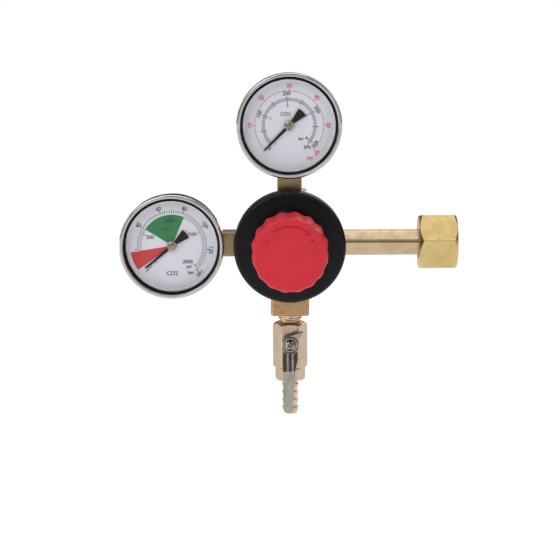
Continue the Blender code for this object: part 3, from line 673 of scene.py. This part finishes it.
def bonnet():
    back, turret_top, radius = span("bonnet", AXIS)
    face, shoulder, turret_r, bore_r = 20.3, 20.8, 15.0, 7.0
    outside = [
        (0, back), (radius, back, 0.4), (radius, face, 2.3), (20.5, shoulder), (turret_r, shoulder, 0.8),
        (turret_r, turret_top, 1.0), (0, turret_top),
    ]
    made = make("regulator_bonnet", lathe(outside, FINE, 6), AXIS, BLACK_ENAMEL)
    hex_flats, hex_turn, hex_top = 38.1, 38.0, 24.2
    boss = make("hex_boss", prism(hexagon(hex_flats, hex_turn, 0.9), 19.0, hex_top + 1), AXIS)
    chamfered = [(0, 18.0), (24.0, 18.0), (24.0, 22.4), (18.6, hex_top), (0, hex_top)]
    trim(boss, turned(chamfered, FINE), AXIS)
    soften(boss, 0.35, 2, 25)
    absorb(made, boss, AXIS)
    inside = [
        (0, back - 2), (26.4, back - 2), (26.4, 17.1), (19.0, 17.1), (19.0, 19.0), (12.2, 22.0), (12.2, 38.0),
        (bore_r, 38.0), (bore_r, turret_top + 2), (0, turret_top + 2),
    ]
    cut(made, turned(inside, FINE), AXIS)
    fit(made, "black_plastic", "bonnet")


FLUTES = 16
FLUTE_DEPTH = 0.9
STEPS_PER_FLUTE = 12
FIRST_CREST = 13.0  # degrees


def arc_strip(radius, width, start, end, steps=24):
    """A band along an arc, from one angle to another."""
    angles = [start + (end - start) * i / steps for i in range(steps + 1)]
    outer = [polar(radius + width / 2, angle) for angle in angles]
    return outer + [polar(radius - width / 2, angle) for angle in angles[::-1]]


def knob():
    back, face = span("knob", AXIS)[:2]
    radius = 20.8
    face_r, face_edge, run_out = radius - 1.1, 1.9, 3.0
    profile = rounded([(0, back), (radius, back, 0.5), (face_r, face, face_edge), (0, face)], 8)[1:-1]
    rings = []
    for r, height in profile:
        share = min(1.0, max(0.0, (face - height) / run_out)) ** 0.6 * min(1.0, r / face_r)
        row = []
        for step in range(FLUTES * STEPS_PER_FLUTE):
            wave = 0.5 - 0.5 * math.cos(2 * math.pi * step / STEPS_PER_FLUTE)
            angle = FIRST_CREST + 360 * step / (FLUTES * STEPS_PER_FLUTE)
            row.append((*polar(r - share * FLUTE_DEPTH * wave, angle), height))
        rings.append(row)
    made = make("adjusting_knob", stacked(rings), AXIS, RED_PLASTIC)
    bore_r, ceiling, screw_hole_r = 16.5, 45.5, 4.9
    below, above = back - 2, 48.6
    hollow = [
        (0, below), (bore_r, below), (bore_r, ceiling, 0.8), (screw_hole_r, ceiling), (screw_hole_r, above),
        (0, above),
    ]
    cut(made, lathe(hollow), AXIS)
    engrave(made, face)
    fit(made, "red_plastic", "knob", body="knob")


def engrave(made, face):
    """A clockwise arrow, and a plus and a minus for more and less pressure."""
    depth, above = 0.55, 1.0
    arrow_r, width, tail, head = 15.4, 0.9, 128.0, 55.0
    tip = polar(arrow_r, head - 11.0)
    barbs = [polar(arrow_r + 2.0, head), tip, polar(arrow_r - 2.0, head)]
    band = arc_strip(arrow_r, width, tail, head)
    half = len(band) // 2
    outline = band[:half] + barbs + band[half:]
    cut(made, prism(outline, face - depth, face + above), AXIS)
    arm, stroke, mark_r = 0.95, 0.28, 14.0
    bar = rectangle(-arm, arm, -stroke, stroke, 0.1)
    plus, corners = [], [(stroke, stroke), (stroke, arm), (-stroke, arm)]
    for _ in range(4):
        plus += corners
        corners = [(-y, x) for x, y in corners]
    for outline, degrees in ((plus, 34.5), (bar, 148.0)):
        cut(made, prism(outline, face - depth, face + above), AXIS @ shift(*polar(mark_r, degrees)))


# Inlet

HEX_TURN = 80.0  # degrees, so that a corner of the nipple and of the nut faces forwards and a little up


def inlet_nipple():
    flats, hex_start, nut_side = 14.0, PORT_FACE + 0.3, 76.6
    inner_end, nose, flange_r = span("inlet_nipple", INLET)
    outline = hexagon(flats, HEX_TURN, 3.0)
    bar = make("inlet_nipple_bar", prism(outline, hex_start, nut_side), INLET, BAR_BRASS)
    corner_r = flats / math.sqrt(3)
    blank = [
        (0, 20), (flats / 2 - 0.2, hex_start), (corner_r + 0.6, PORT_FACE + 1.5), (corner_r + 2, 60),
        (corner_r + 2, 80), (0, 80),
    ]
    trim(bar, turned(blank), INLET)
    thread_r = 6.4
    thread = [(0, inner_end), (5.9, inner_end, 0.2), (thread_r, 16.6), (thread_r, 28.0), (0, 28.0)]
    join(bar, lathe(thread), INLET)
    join(bar, lathe([(0, 76.0), (flange_r, 76.0, 0.4), (flange_r, nose, 1.0), (0, nose)]), INLET)
    past, passage_r, seat_r = nose + 0.1, 2.0, 3.2
    passage = [
        (0, 14), (passage_r, 14), (passage_r, 71), (seat_r, 71), (seat_r, nose - 0.5), (3.8, past), (0, past),
    ]
    cut(bar, turned(passage), INLET)
    soften(bar, 0.12, 2)
    fit(bar, "brass", "inlet_nipple")


def inlet_washer_and_filter():
    back, face, radius = span("inlet_washer", INLET)
    inner = 3.6
    ring = [(inner, back, 0.25), (radius, back, 0.3), (radius, face, 0.3), (inner, face, 0.25)]
    fit(make("inlet_fibre_washer", lathe(ring), INLET, FIBRE), "fibre", "inlet_washer")
    back, face, radius = span("inlet_filter", INLET)
    disc = [(0, back), (radius, back, 0.4), (radius, face, 0.5), (0, face - 0.3)]
    fit(make("inlet_sintered_filter", lathe(disc, SMALL), INLET, BRONZE), "bronze", "inlet_filter")


def inlet_nut():
    start, end = span("inlet_nut", INLET)[:2]
    flats, beyond, chamfer = 28.6, 19.0, 2.4
    flats_r = flats / 2 + 0.2
    slope = (beyond - flats_r - chamfer) * 0.8
    outline = hexagon(flats, HEX_TURN, 0.35)
    nut = make("inlet_nut_hexagon", prism(outline, start - 1, end + 1), INLET, NUT_BRASS)
    blank = [
        (0, start), (flats_r - 0.6, start, 0.5), (beyond, start + chamfer + slope),
        (beyond, end - chamfer - slope), (flats_r - 0.6, end, 0.5), (0, end),
    ]
    trim(nut, lathe(blank, FINE), INLET)
    back_r, bore_r, mouth_r, floor = 8.3, 9.9, 10.8, start + 5.0
    bore = [
        (0, start - 1), (back_r + 0.5, start - 1), (back_r + 0.5, start), (back_r, start + 0.5),
        (back_r, floor), (bore_r + 0.7, floor), (bore_r + 0.7, floor + 1.6), (bore_r, floor + 2.2),
        (bore_r, end - 1.3), (mouth_r, end + 0.1), (mouth_r, end + 1), (0, end + 1),
    ]
    cut(nut, turned(bore, FINE), INLET)
    pitch, groove = INCH / 14, 0.58
    thread = [(-0.25, -0.62), (groove, -0.10), (groove, 0.10), (-0.25, 0.62)]
    cut(nut, helix(bore_r, floor + 1.2, pitch, (end - floor) / pitch, thread), INLET)
    fit(nut, "brass", "inlet_nut", body="nut")


# Outlet shut-off valve and hose barb

VALVE_TOP = 44.1
VALVE_BOTTOM = 69.1
VALVE_STEM = -JOINTS["lever_turn"]["pos_m"][2] / MM
STEM = place(FRONT, 0, 0, -VALVE_STEM)


def valve_body():
    flats, thread_r, neck_r, past = 16.6, 6.4, 5.6, VALVE_TOP + 2
    outline = hexagon(flats, 0, 0.75)
    shell = make("shutoff_valve_body", prism(outline, VALVE_TOP - 1, VALVE_BOTTOM + 1), OUTLET, VALVE_BRASS)
    half = flats / 2
    blank = [
        (0, VALVE_TOP), (half - 0.5, VALVE_TOP, 0.5), (half + 2.4, VALVE_TOP + 1.9),
        (half + 2.4, VALVE_BOTTOM - 1.6), (half - 0.2, VALVE_BOTTOM, 0.6), (0, VALVE_BOTTOM),
    ]
    trim(shell, lathe(blank, FINE), OUTLET)
    crests, pitch = [], INCH / 18
    for i in range(7):
        crests += [(thread_r - 0.35, 30.6 + pitch * i), (thread_r, 30.6 + pitch * (i + 0.5))]
    neck = [
        (0, 29), (5.8, 29), *crests, (thread_r - 0.2, 40.7), (thread_r, 41.2, 0.15), (thread_r, 41.9, 0.3),
        (neck_r, 42.4, 0.2), (neck_r, 43.0, 0.2), (7.2, VALVE_TOP + 0.1), (7.2, past), (0, past),
    ]
    join(shell, lathe(neck), OUTLET)
    join(shell, lathe([(0, 6.0), (4.4, 6.0), (4.4, 11.0, 0.4), (0, 11.0)]), STEM)
    flow_r, cavity_r, floor = 2.4, 6.2, 48.5
    passage = [(0, 28), (flow_r, 28), (flow_r, floor), (cavity_r, floor), (cavity_r, 71), (0, 71)]
    cut(shell, turned(passage), OUTLET)
    cut(shell, turned([(0, 4.0), (2.6, 4.0), (2.6, 8.6), (3.6, 8.6), (3.6, 12), (0, 12)]), STEM)
    fit(shell, "brass", "valve_body")


def hose_barb():
    flats, hex_start, hex_end = 14.4, VALVE_BOTTOM + 0.3, 76.5
    end, half = span("hose_barb", OUTLET)[1], flats / 2
    outline = hexagon(flats, 0, 0.55)
    barb = make("hose_barb_fitting", prism(outline, hex_start, hex_end + 1), OUTLET, VALVE_BRASS)
    blank = [
        (0, VALVE_BOTTOM), (11, VALVE_BOTTOM), (11, hex_end - 3.0), (half - 0.6, hex_end, 0.4), (0, hex_end),
    ]
    trim(barb, lathe(blank, FINE), OUTLET)
    root_r, crest_r, neck_r, barbs, first = 3.75, 4.55, 4.2, 4, 78.0
    pitch, shoulder = (end - first) / barbs, VALVE_BOTTOM + 1
    profile = [(0, 61.0), (5.9, 61.0), (5.9, shoulder), (neck_r, shoulder), (neck_r, first, 0.3)]
    for i in range(barbs):
        crest = first + pitch * i + 0.5
        root = first + pitch * (i + 1) - (i == barbs - 1) * 0.4
        profile += [(crest_r, crest, 0.12), (crest_r - 0.05, crest + 0.6), (root_r, root, 0.2)]
    profile += [(root_r - 0.4, end), (0, end)]
    join(barb, lathe(profile), OUTLET @ turn(1))
    check_r, flow_r, past = 3.4, 2.4, end + 0.1
    passage = [
        (0, 60), (1.8, 60), (1.8, 62.6), (check_r, 63.6), (check_r, 68.0), (flow_r, 69.0),
        (flow_r, end - 0.5), (2.9, past), (0, past),
    ]
    cut(barb, turned(passage, SMALL), OUTLET @ turn(2))
    cut(barb, prism(rectangle(-3.2, 3.2, -0.8, 0.8), 67.0, 71.0), OUTLET)
    fit(barb, "brass", "hose_barb")


def lever():
    """A stamped strip: its front outline, kept where it meets its side outline, with two ribs and a lip."""
    tip_r, length, lean = 2.65, 36.8, -1.2
    lip_start, lip_end = (-3.3, 3.9), (7.2, 7.4)
    outline = rounded([
        (lean + tip_r, -length, tip_r - 0.05), (2.5, -14.5, 2.0), (4.0, -8.0, 4.0), (4.1, -2.0, 4.0),
        (4.5, 1.8, 1.0), (*lip_end, 0.25), (*lip_start, 0.8), (-4.2, 0.0, 3.0), (-4.0, -8.0, 4.0),
        (-4.05, -14.5, 2.0), (lean - tip_r, -length, tip_r - 0.05),
    ], 8)
    made = make("shutoff_lever", prism(outline, 9.0, 18.0), STEM, LEVER_ZINC_WITH_PAINTED_SHADE)
    near, far, thick = 11.4, 15.0, 1.5
    across = STEM @ LEFT
    side = rounded([
        (near, 9.0), (near, -7.2, 1.5), (far, -14.2, 1.5), (far, -40.0), (far + thick, -40.0),
        (far + thick, -13.4, 1.0), (near + thick, -6.2, 2.2), (near + thick, 9.0),
    ], 6)
    trim(made, prism(side, -12.0, 12.0), across)
    soften(made, 0.28, 3, 40)
    cut(made, prism(rectangle(-1.9, 1.9, -1.9, 1.9, 0.2), 10.2, 14.2), STEM)
    hub_r, ring_r, ring_top, proud = 3.95, 3.0, near + thick + 0.7, 0.75
    ring = [(ring_r, near + 0.5), (hub_r, near + 0.5), (hub_r, ring_top, 0.3), (ring_r, ring_top, 0.3)]
    join(made, lathe(ring), STEM)
    rib_side = rounded([
        (near + 0.6, -3.5), (near + 0.6, -7.6), (far + 0.6, -14.4), (far + thick - 0.2, -13.6),
        (near + thick + proud, -6.6, 1.5), (near + thick + proud, -3.9, 0.4), (near + thick, -3.5),
    ])
    rib_half = 0.42
    for x in (-RIB_X, RIB_X):
        rib = make("rib", prism(rib_side, x - rib_half, x + rib_half), across)
        soften(rib, 0.25, 2, 40)
        absorb(made, rib, across)
    along, up = lip_end[0] - lip_start[0], lip_end[1] - lip_start[1]
    lip_along = Matrix.Rotation(math.atan2(up, along), 4, "Z")
    lip = block((0.2, 10.6, -0.9, 0.0), 0.3, 9.7, near + thick + 0.5, 0.2, 0.3)
    join(made, lip, STEM @ shift(*lip_start) @ lip_along)
    fit(made, "zinc", "lever", body="shutoff")


def lever_screw():
    foot, top, head_r = span("lever_screw", STEM)
    shank_r, seat = 0.95, 13.3
    profile = [
        (0, foot), (shank_r, foot, 0.2), (shank_r, seat), (head_r, seat, 0.15), (head_r, seat + 0.9, 0.5),
        (1.5, top, 1.5), (0, top),
    ]
    made = make("lever_cross_screw", lathe(profile, MEDIUM, 6), STEM, SCREW_STEEL)
    floor, mouth = rectangle(-0.7, 0.7, -0.2, 0.2), rectangle(-1.8, 1.8, -0.42, 0.42)
    slot = stacked([[(*point, 14.0) for point in floor], [(*point, top + 0.5) for point in mouth]])
    for degrees in (20, 110):
        cut(made, slot, STEM @ turn(degrees))
    fit(made, "chrome", "lever_screw", body="shutoff")


# Relief valve on the back

RELIEF_Y, RING_HOLE = [value / MM for value in JOINTS["ring_swing"]["pos_m"][1:]]
RELIEF = place(UP, 0, RELIEF_Y, 0)


def relief_valve():
    foot, top = span("relief_body", RELIEF)[:2]
    seat, hex_top, barrel_r = 8.3, 14.0, 4.6
    outline = hexagon(11.0, 30, 0.3)
    shell = make("relief_valve_body", prism(outline, seat - 1, hex_top + 1), RELIEF, INNER_BRASS)
    blank = [
        (0, seat), (5.3, seat, 0.2), (7.6, seat + 1.3), (7.6, hex_top - 1.3), (5.3, hex_top, 0.2),
        (0, hex_top),
    ]
    trim(shell, lathe(blank), RELIEF)
    join(shell, rod(3.7, foot, seat + 1, MEDIUM), RELIEF)
    barrel = [
        (0, 13.0), (barrel_r, 13.0), (barrel_r, 15.2, 0.2), (4.2, 15.6, 0.2), (4.2, 16.4, 0.2),
        (barrel_r, 16.8, 0.2), (barrel_r, top, 0.7), (0, top),
    ]
    join(shell, lathe(barrel), RELIEF)
    port_r, spring_r, stem_r = 1.2, 3.5, 1.6
    passage = [
        (0, -3), (port_r, -3), (port_r, 3.6), (spring_r, 3.6), (spring_r, 24.3), (stem_r, 24.3), (stem_r, 28),
        (0, 28),
    ]
    cut(shell, turned(passage), RELIEF)
    vent_r, vent_height = 0.8, 20.5
    for degrees in range(0, 180, 60):
        across = RELIEF @ shift(0, 0, vent_height) @ turn(degrees) @ RIGHT
        cut(shell, rod(vent_r, -6, 6, 24), across)
    fit(shell, "brass", "relief_body")


def relief_stem():
    foot, top = span("relief_stem", RELIEF)[:2]
    profile = [(0, foot), (3.0, foot, 0.2), (3.0, 5.8, 0.2), (1.2, 5.8), (1.2, 27.0), (0, 27.0)]
    made = make("relief_valve_stem", lathe(profile, SMALL), RELIEF, INNER_BRASS)
    join(made, block((-1.7, 1.7, -1.0, 1.0), 0.3, 26.4, top, 0.3, 0.4), RELIEF)
    cut(made, rod(0.95, -4, 4, 24), place(FRONT, 0, RELIEF_Y, RING_HOLE))
    fit(made, "brass", "relief_stem", body="relief_stem")


def relief_ring():
    """A split ring: a flat wire wound twice."""
    mean_r, droop, steps = 4.8, 6.0, 64
    half, height, gap = 0.55, 0.28, 0.06
    wire = rounded([(*corner, 0.15) for corner in rectangle(-half, half, -height, height)], 2)
    rise = height + gap / 2
    coil = moved(helix(mean_r, -rise, rise, 2, wire, steps), Matrix.Translation((mean_r, 0, 0)) @ turn(180))
    made = make("relief_split_ring", coil, place(turn(droop, "Y"), 0, RELIEF_Y, RING_HOLE), STEEL)
    fit(made, "steel", "relief_ring", body="relief_ring")


# Gauges

ZERO_ANGLE = 225.0  # degrees, anticlockwise from 3 o'clock as the dial is seen
SWEEP = 270.0
PAST_ZERO = 4.6  # degrees past its zero mark at which the high gauge's needle rests
INK_HEIGHT = 0.03
BOLDNESS = 0.022  # how far letters grow outwards, as a share of their size


def mark(radius, length, width, degrees):
    """A scale line running outwards from a radius."""
    line = prism(rectangle(radius, radius + length, -width / 2, width / 2), 0, INK_HEIGHT)
    return moved(line, turn(degrees))


def band(inner, outer, start, end, steps=96):
    return prism(arc_strip((inner + outer) / 2, outer - inner, start, end, steps), 0, INK_HEIGHT)


def lettering(text, size):
    """Flat text, centred on the origin, as a shape."""
    curve = bpy.data.curves.new("text", "FONT")
    curve.body = text
    curve.size = size
    curve.extrude = INK_HEIGHT / 2
    curve.offset = BOLDNESS * size
    curve.resolution_u = 3
    curve.align_x = curve.align_y = "CENTER"
    obj = add_object("text", curve)
    mesh = evaluated_mesh(obj)
    bpy.data.objects.remove(obj)
    bm = bmesh.new()
    bm.from_mesh(mesh)
    bmesh.ops.remove_doubles(bm, verts=bm.verts, dist=1e-4)
    bm.verts.index_update()
    points = [tuple(vertex.co) for vertex in bm.verts]
    faces = [[vertex.index for vertex in face.verts] for face in bm.faces]
    bm.free()
    return moved((points, faces), Matrix.Translation((0, 0, INK_HEIGHT / 2)))


def label(text, size, radius, degrees, upright=False):
    """A number or unit on the dial, standing on the scale's circle or upright."""
    lean = 0 if upright else degrees - 90
    return moved(lettering(text, size), Matrix.Translation((*polar(radius, degrees), 0)) @ turn(lean))


def angle_of(value, full):
    """Where a value stands on a scale that ends at full."""
    return ZERO_ANGLE - SWEEP * value / full


def scale(count, step, full, lines, gaps=()):
    """Lines at equal steps of value, with none inside the gaps.

    Lines are (every how many steps, radius, length, width), with the rarest first.
    """
    marks = []
    for i in range(count):
        degrees = angle_of(step * i, full)
        size = next(size for every, *size in lines if i % every == 0)
        if not any(start < degrees < end for start, end in gaps):
            marks.append(mark(*size, degrees))
    return marks


def low_gauge_print():
    """0 to 60 psi in red, with kilopascals and bar inside in black."""
    psi_full, kpa_full = 60.0, 60.0 * 6.895
    red = [band(18.3, 18.52, ZERO_ANGLE - SWEEP, ZERO_ANGLE)]
    red += scale(31, 2.0, psi_full, [(5, 18.4, 1.5, 0.42), (1, 18.4, 0.8, 0.26)])
    red += [label(str(n), 3.0, 21.0, angle_of(n, psi_full)) for n in range(10, 70, 10)]
    red.append(label("psi", 2.8, 20.6, -57.5, True))
    black = scale(83, 5.0, kpa_full, [(10, 13.0, 2.55, 0.48), (1, 13.0, 1.85, 0.33)])
    black += scale(9, 50.0, kpa_full, [(2, 11.8, 1.4, 0.4), (1, 12.4, 0.8, 0.4)])
    black += [label(str(n), 2.9, 17.0, angle_of(n, kpa_full)) for n in range(100, 500, 100)]
    black += [label(str(n), 2.3, 10.6, angle_of(100.0 * n, kpa_full), True) for n in range(1, 4)]
    black.append(label("0", 2.4, 16.2, 230.0))
    for words in (
        ("bar", 2.4, 9.6, -49.0), ("4", 2.6, 11.4, -37.0), ("kPa", 2.8, 15.2, -50.5),
        ("CO2", 2.7, 6.3, 108.0),
    ):
        black.append(label(*words, True))
    return {"black": black, "red": red}


def high_gauge_print():
    """0 to 140 bar, with 0 to 2000 psi inside, a green sector for full and a red one for nearly empty."""
    bar_full, psi_full = 140.0, 2030.0
    hub_r, green_arc, red_arc = 2.7, (66.5, 148.0), (189.0, 215.5)
    green = [band(hub_r, 16.9, *green_arc)]
    red = [band(hub_r, 22.7, *red_arc)]
    bar_lines = [(10, 17.9, 2.4, 0.47), (5, 17.9, 1.7, 0.37), (1, 17.9, 1.2, 0.37)]
    black = scale(71, 2.0, bar_full, bar_lines, [red_arc])
    black += scale(81, 25.0, psi_full, [(20, 15.4, 2.1, 0.44), (1, 16.4, 1.1, 0.3)], [green_arc, red_arc])
    black += [label(str(n), 2.9, 21.2, angle_of(n, bar_full)) for n in range(40, 160, 20)]
    for words in (
        ("500", 2.8, 12.6, 158.5), ("1500", 2.6, 12.4, 30.0), ("2000", 2.8, 12.2, -46.5),
        ("psi", 2.6, 14.6, -51.5), ("bar", 2.7, 17.9, -55.5), ("CO2", 3.1, 15.2, 270.0),
    ):
        black.append(label(*words, True))
    on_green = [label("1000", 2.8, 13.6, 94.5, True), label("CO2", 2.6, 9.2, 107.0, True)]
    on_green.append(mark(14.9, 1.8, 0.4, 92.0))
    black += [moved(shape, Matrix.Translation((0, 0, INK_HEIGHT))) for shape in on_green]
    return {"green": green, "red": red, "black": black}


INKS = {"black": BLACK_INK, "red": RED_INK, "green": GREEN_INK}


def gauge_dial(name, front, rest_angle, printed):
    back, pin_top, radius = span(f"{name}_dial", front)
    plate_thickness, bore_r = 0.7, 2.0
    face = back + plate_thickness
    rim_top = face + 1.0
    profile = [
        (bore_r, back), (radius, back), (radius, rim_top, 0.1), (radius - 0.9, rim_top, 0.2),
        (radius - 1.2, face, 0.15), (bore_r, face),
    ]
    fit(make(f"{name}_dial_plate", lathe(profile, FINE), front, DIAL_ENAMEL), "white_paint", f"{name}_dial")
    pin_r = 0.4
    pin_profile = [(0, face - 0.3), (pin_r, face - 0.3), (pin_r, pin_top, 0.15), (0, pin_top)]
    pin_frame = front @ shift(*polar(12.5, rest_angle + 7))
    fit(make(f"{name}_stop_pin", lathe(pin_profile, 24), pin_frame, STEEL), "steel")
    for colour, shapes in printed.items():
        ink_frame = front @ shift(0, 0, face - 0.005)
        ink_piece = make(f"{name}_{colour}_print", merged(shapes), ink_frame, INKS[colour], 0)
        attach(ink_piece, "regulator")


def gauge_shell(name, front, inner):
    back, mouth, radius = span(f"{name}_case", front)
    wall = 1.0
    cup = [
        (0, back + 0.25), (17.0, back + 0.25, 0.4), (18.0, back, 0.4), (radius, back, 1.8),
        (radius, mouth, 0.2), (radius - wall, mouth, 0.2), (radius - wall, back + 1.2, 1.0), (0, back + 1.2),
    ]
    case = make(f"{name}_case_cup", lathe(cup, FINE), front, STAINLESS)
    cut(case, rod(5.0, 20, 30, MEDIUM), inner @ FRONT)
    fit(case, "chrome", f"{name}_case")
    back, top, outer = span(f"{name}_bezel", front)
    bore_r, lip_r, lens_front = 26.9, 25.9, 14.6
    rim = [
        (bore_r, back, 0.15), (outer, back, 0.8), (outer, top - 0.4, 1.0), (outer - 0.8, top, 0.8),
        (lip_r + 0.5, top, 0.5), (lip_r, lens_front + 0.6, 0.2), (bore_r, lens_front + 0.6),
    ]
    fit(make(f"{name}_bezel_ring", lathe(rim, FINE, 8), front, CHROME), "chrome", f"{name}_bezel")
    back, top, radius = span(f"{name}_lens", front)
    edge = 0.25
    disc = [(0, back), (radius, back, edge), (radius, top, edge), (0, top)]
    fit(make(f"{name}_lens_disc", lathe(disc, FINE), front, CLEAR), "clear", f"{name}_lens")
    back, top, outer = span(f"{name}_gasket", front)
    inner_r, foot_r = 24.75, 25.1
    section = [(inner_r, back, 0.05), (outer, back, 0.1), (outer, top, 0.1), (foot_r, top, 0.3)]
    fit(make(f"{name}_gasket_ring", lathe(section, FINE), front, BLACK_RUBBER), "rubber", f"{name}_gasket")


def gauge_socket(name, inner):
    axis = inner @ FRONT
    end = span(f"{name}_socket", axis)[1]
    square, shank_start, shank_end, thread_r = 6.65, 26.9, end - 12.8, 6.4
    shank = block((-square, square, -square, square), 0.7, shank_start, shank_end, 0.4, 0.5)
    made = make(f"{name}_socket_stem", shank, axis, SHADE_DARKENED_BRASS)
    pitch, crests = INCH / 18, [(0, shank_end - 1.2), (thread_r, shank_end - 1.2)]
    for i in range(8):
        start = shank_end + 0.4 + pitch * i
        crests += [(thread_r, start), (thread_r - 0.4, start + pitch / 2)]
    join(made, turned([*crests, (5.9, end), (0, end)]), axis)
    join(made, rod(4.6, 23.5, 27.2), axis)
    join(made, block((-6.5, 6.5, -4.5, 3.0), 0.5, 14.0, 24.0, 0.3, 0.3), axis)
    cut(made, rod(1.4, 18.0, 52.0, 24), axis)
    fit(made, "brass", f"{name}_socket")


def gauge_needle(name, body_name, front, rest_angle):
    """A tapered pointer with a fan-shaped tail, and its hub."""
    matrix = front @ turn(rest_angle)
    hub_top = span(f"{name}_needle", matrix)[1]
    back, thick = 10.3, 0.6
    reach, tail_r, tail_spread = 19.0, 10.4, 15.5
    upper = [(reach, 0.2), (reach - 0.3, 0.45), (2.2, 0.85), (0.0, 1.4), (-2.6, 1.0)]
    tail = [polar(tail_r, 180 - tail_spread + tail_spread * 2 * i / 8) for i in range(9)]
    lower = [(x, -y) for x, y in upper[::-1]]
    outline = lower[-2:] + upper + tail + lower[:-2]
    pointer = make(f"{name}_pointer", prism(outline, back, back + thick), matrix, NEEDLE_PAINT)
    cut(pointer, rod(0.95, 9, 13, 24), matrix)
    soften(pointer, 0.08, 2, 40)
    fit(pointer, "black_paint", f"{name}_needle", body=body_name)
    bore_r, hub_back, dip = 0.95, 10.05, hub_top - 0.35
    hub = [
        (bore_r, hub_back), (2.4, hub_back, 0.15), (2.7, 11.0, 0.3), (2.6, hub_top - 0.5, 0.35),
        (1.75, hub_top, 0.3), (1.55, dip), (bore_r, dip),
    ]
    fit(make(f"{name}_pointer_hub", lathe(hub), matrix, NICKEL), "chrome", body=body_name)
    tip = [
        (0, hub_top - 0.6), (1.5, hub_top - 0.34), (1.5, hub_top - 0.2, 0.1), (0.9, hub_top - 0.05, 0.4),
        (0, hub_top - 0.02),
    ]
    fit(make(f"{name}_staff_end", lathe(tip, SMALL), matrix, SHADE_DARKENED_BRASS), "brass", body=body_name)


def gauge(side, stem_turn, rest_angle, printed):
    """stem_turn is how far the stem is turned from straight down, anticlockwise as the dial is seen.

    rest_angle is where the needle rests on its stop pin.
    """
    name, body_name = f"{side}_gauge", f"{side}_needle"
    centre = Vector(JOINTS[f"{body_name}_turn"]["pos_m"])
    front = Matrix.Translation((centre.x, 0.0, centre.z)) @ FRONT
    inner = front @ turn(stem_turn)
    gauge_shell(name, front, inner)
    gauge_dial(name, front, rest_angle, printed)
    gauge_socket(name, inner)
    gauge_needle(name, body_name, front, rest_angle)


# Stage, light and camera


def stage_floor():
    half, below, cells_across = 12.0, 0.35, 24
    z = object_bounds()[0].z - below
    mesh = bpy.data.meshes.new("floor")
    bm = bmesh.new()
    bmesh.ops.create_grid(bm, x_segments=cells_across, y_segments=cells_across, size=half)
    bm.to_mesh(mesh)
    bm.free()
    paper = new_material("floor_paper", (0.80, 0.80, 0.80), 0.9)
    tint(paper, spread(paper, grain(paper, 6, 3), 0.3, 0.8, 0.0, 0.2), (0.78, 0.78, 0.78))
    shader_of(paper).inputs["Emission Color"].default_value = WHITE
    shader_of(paper).inputs["Emission Strength"].default_value = 0.6
    mesh.materials.append(paper)
    obj = add_object("floor", mesh)
    obj.location.z = z


def area_light(name, location, size, size_y, radiance):
    """A soft box that faces the regulator. Its power follows from its brightness and its area."""
    lamp = bpy.data.lights.new(name, "AREA")
    lamp.shape = "RECTANGLE"
    lamp.size = size
    lamp.size_y = size_y
    lamp.energy = radiance * math.pi * size * size_y
    obj = add_object(name, lamp)
    obj.location = AXIS_POINT + Vector(location)
    obj.rotation_euler = (AXIS_POINT - obj.location).to_track_quat("-Z", "Y").to_euler()
    obj.visible_camera = False


def world_light():
    """A white backdrop, in a room that is darker round the horizon so that polished metal has contrast."""
    world = bpy.data.worlds.new("studio")
    bpy.context.scene.world = world
    world.use_nodes = True
    direction = new_node(world, "TexCoord").outputs["Generated"]
    height = new_node(world, "SeparateXYZ", {"Vector": direction}).outputs["Z"]
    ramp = new_node(world, "ValToRGB", {"Fac": spread(world, height, -1.0, 1.0)})
    stops = [(0.0, 0.60), (0.40, 0.50), (0.47, 0.10), (0.58, 0.08), (0.70, 0.42), (1.0, 0.75)]
    for position, grey in stops[1:-1]:
        ramp.color_ramp.elements.new(position)
    for element, (position, grey) in zip(ramp.color_ramp.elements, stops):
        element.position = position
        element.color = (grey, grey, grey, 1.0)
    is_seen = new_node(world, "LightPath").outputs["Is Camera Ray"]
    colour = blend(world, is_seen, ramp.outputs["Color"], WHITE)
    give(world, world.node_tree.nodes["Background"].inputs["Color"], colour)


def camera():
    azimuth, elevation, roll, distance = 0.1, 9.2, -0.3, 1.0
    aim = AXIS_POINT + Vector((-5.4, 0.0, -20.7)) * MM
    flat, up = polar(1, elevation)
    back = Vector((*polar(flat, azimuth - 90), up))
    data = bpy.data.cameras.new("camera")
    data.sensor_width = 36.0
    frame_width = 0.3072
    data.lens = data.sensor_width * distance / frame_width
    obj = add_object("camera", data)
    obj.location = aim + back * distance
    level = (-back).to_track_quat("-Z", "Y").to_matrix()
    obj.rotation_euler = (level @ Matrix.Rotation(math.radians(roll), 3, "Z")).to_euler()
    bpy.context.scene.camera = obj


finish_cad_nodes()
body()
bonnet()
knob()
inlet_nipple()
inlet_washer_and_filter()
inlet_nut()
valve_body()
hose_barb()
lever()
lever_screw()
relief_valve()
relief_stem()
relief_ring()
gauge("low", 0, ZERO_ANGLE, low_gauge_print())
gauge("high", 90, ZERO_ANGLE - PAST_ZERO, high_gauge_print())

stage_floor()
world_light()
area_light("key", (-0.75, -1.1, 0.95), 0.8, 0.8, 2.9)
area_light("fill", (1.0, -0.9, 0.35), 0.5, 0.9, 1.5)
area_light("left_strip", (-1.15, -0.35, 0.1), 0.16, 1.0, 5.0)
area_light("top", (0.0, 0.0, 1.2), 0.9, 0.9, 1.6)
area_light("back", (0.4, 1.2, 0.7), 0.9, 0.7, 1.6)
camera()
bpy.context.scene.view_settings.view_transform = "Standard"
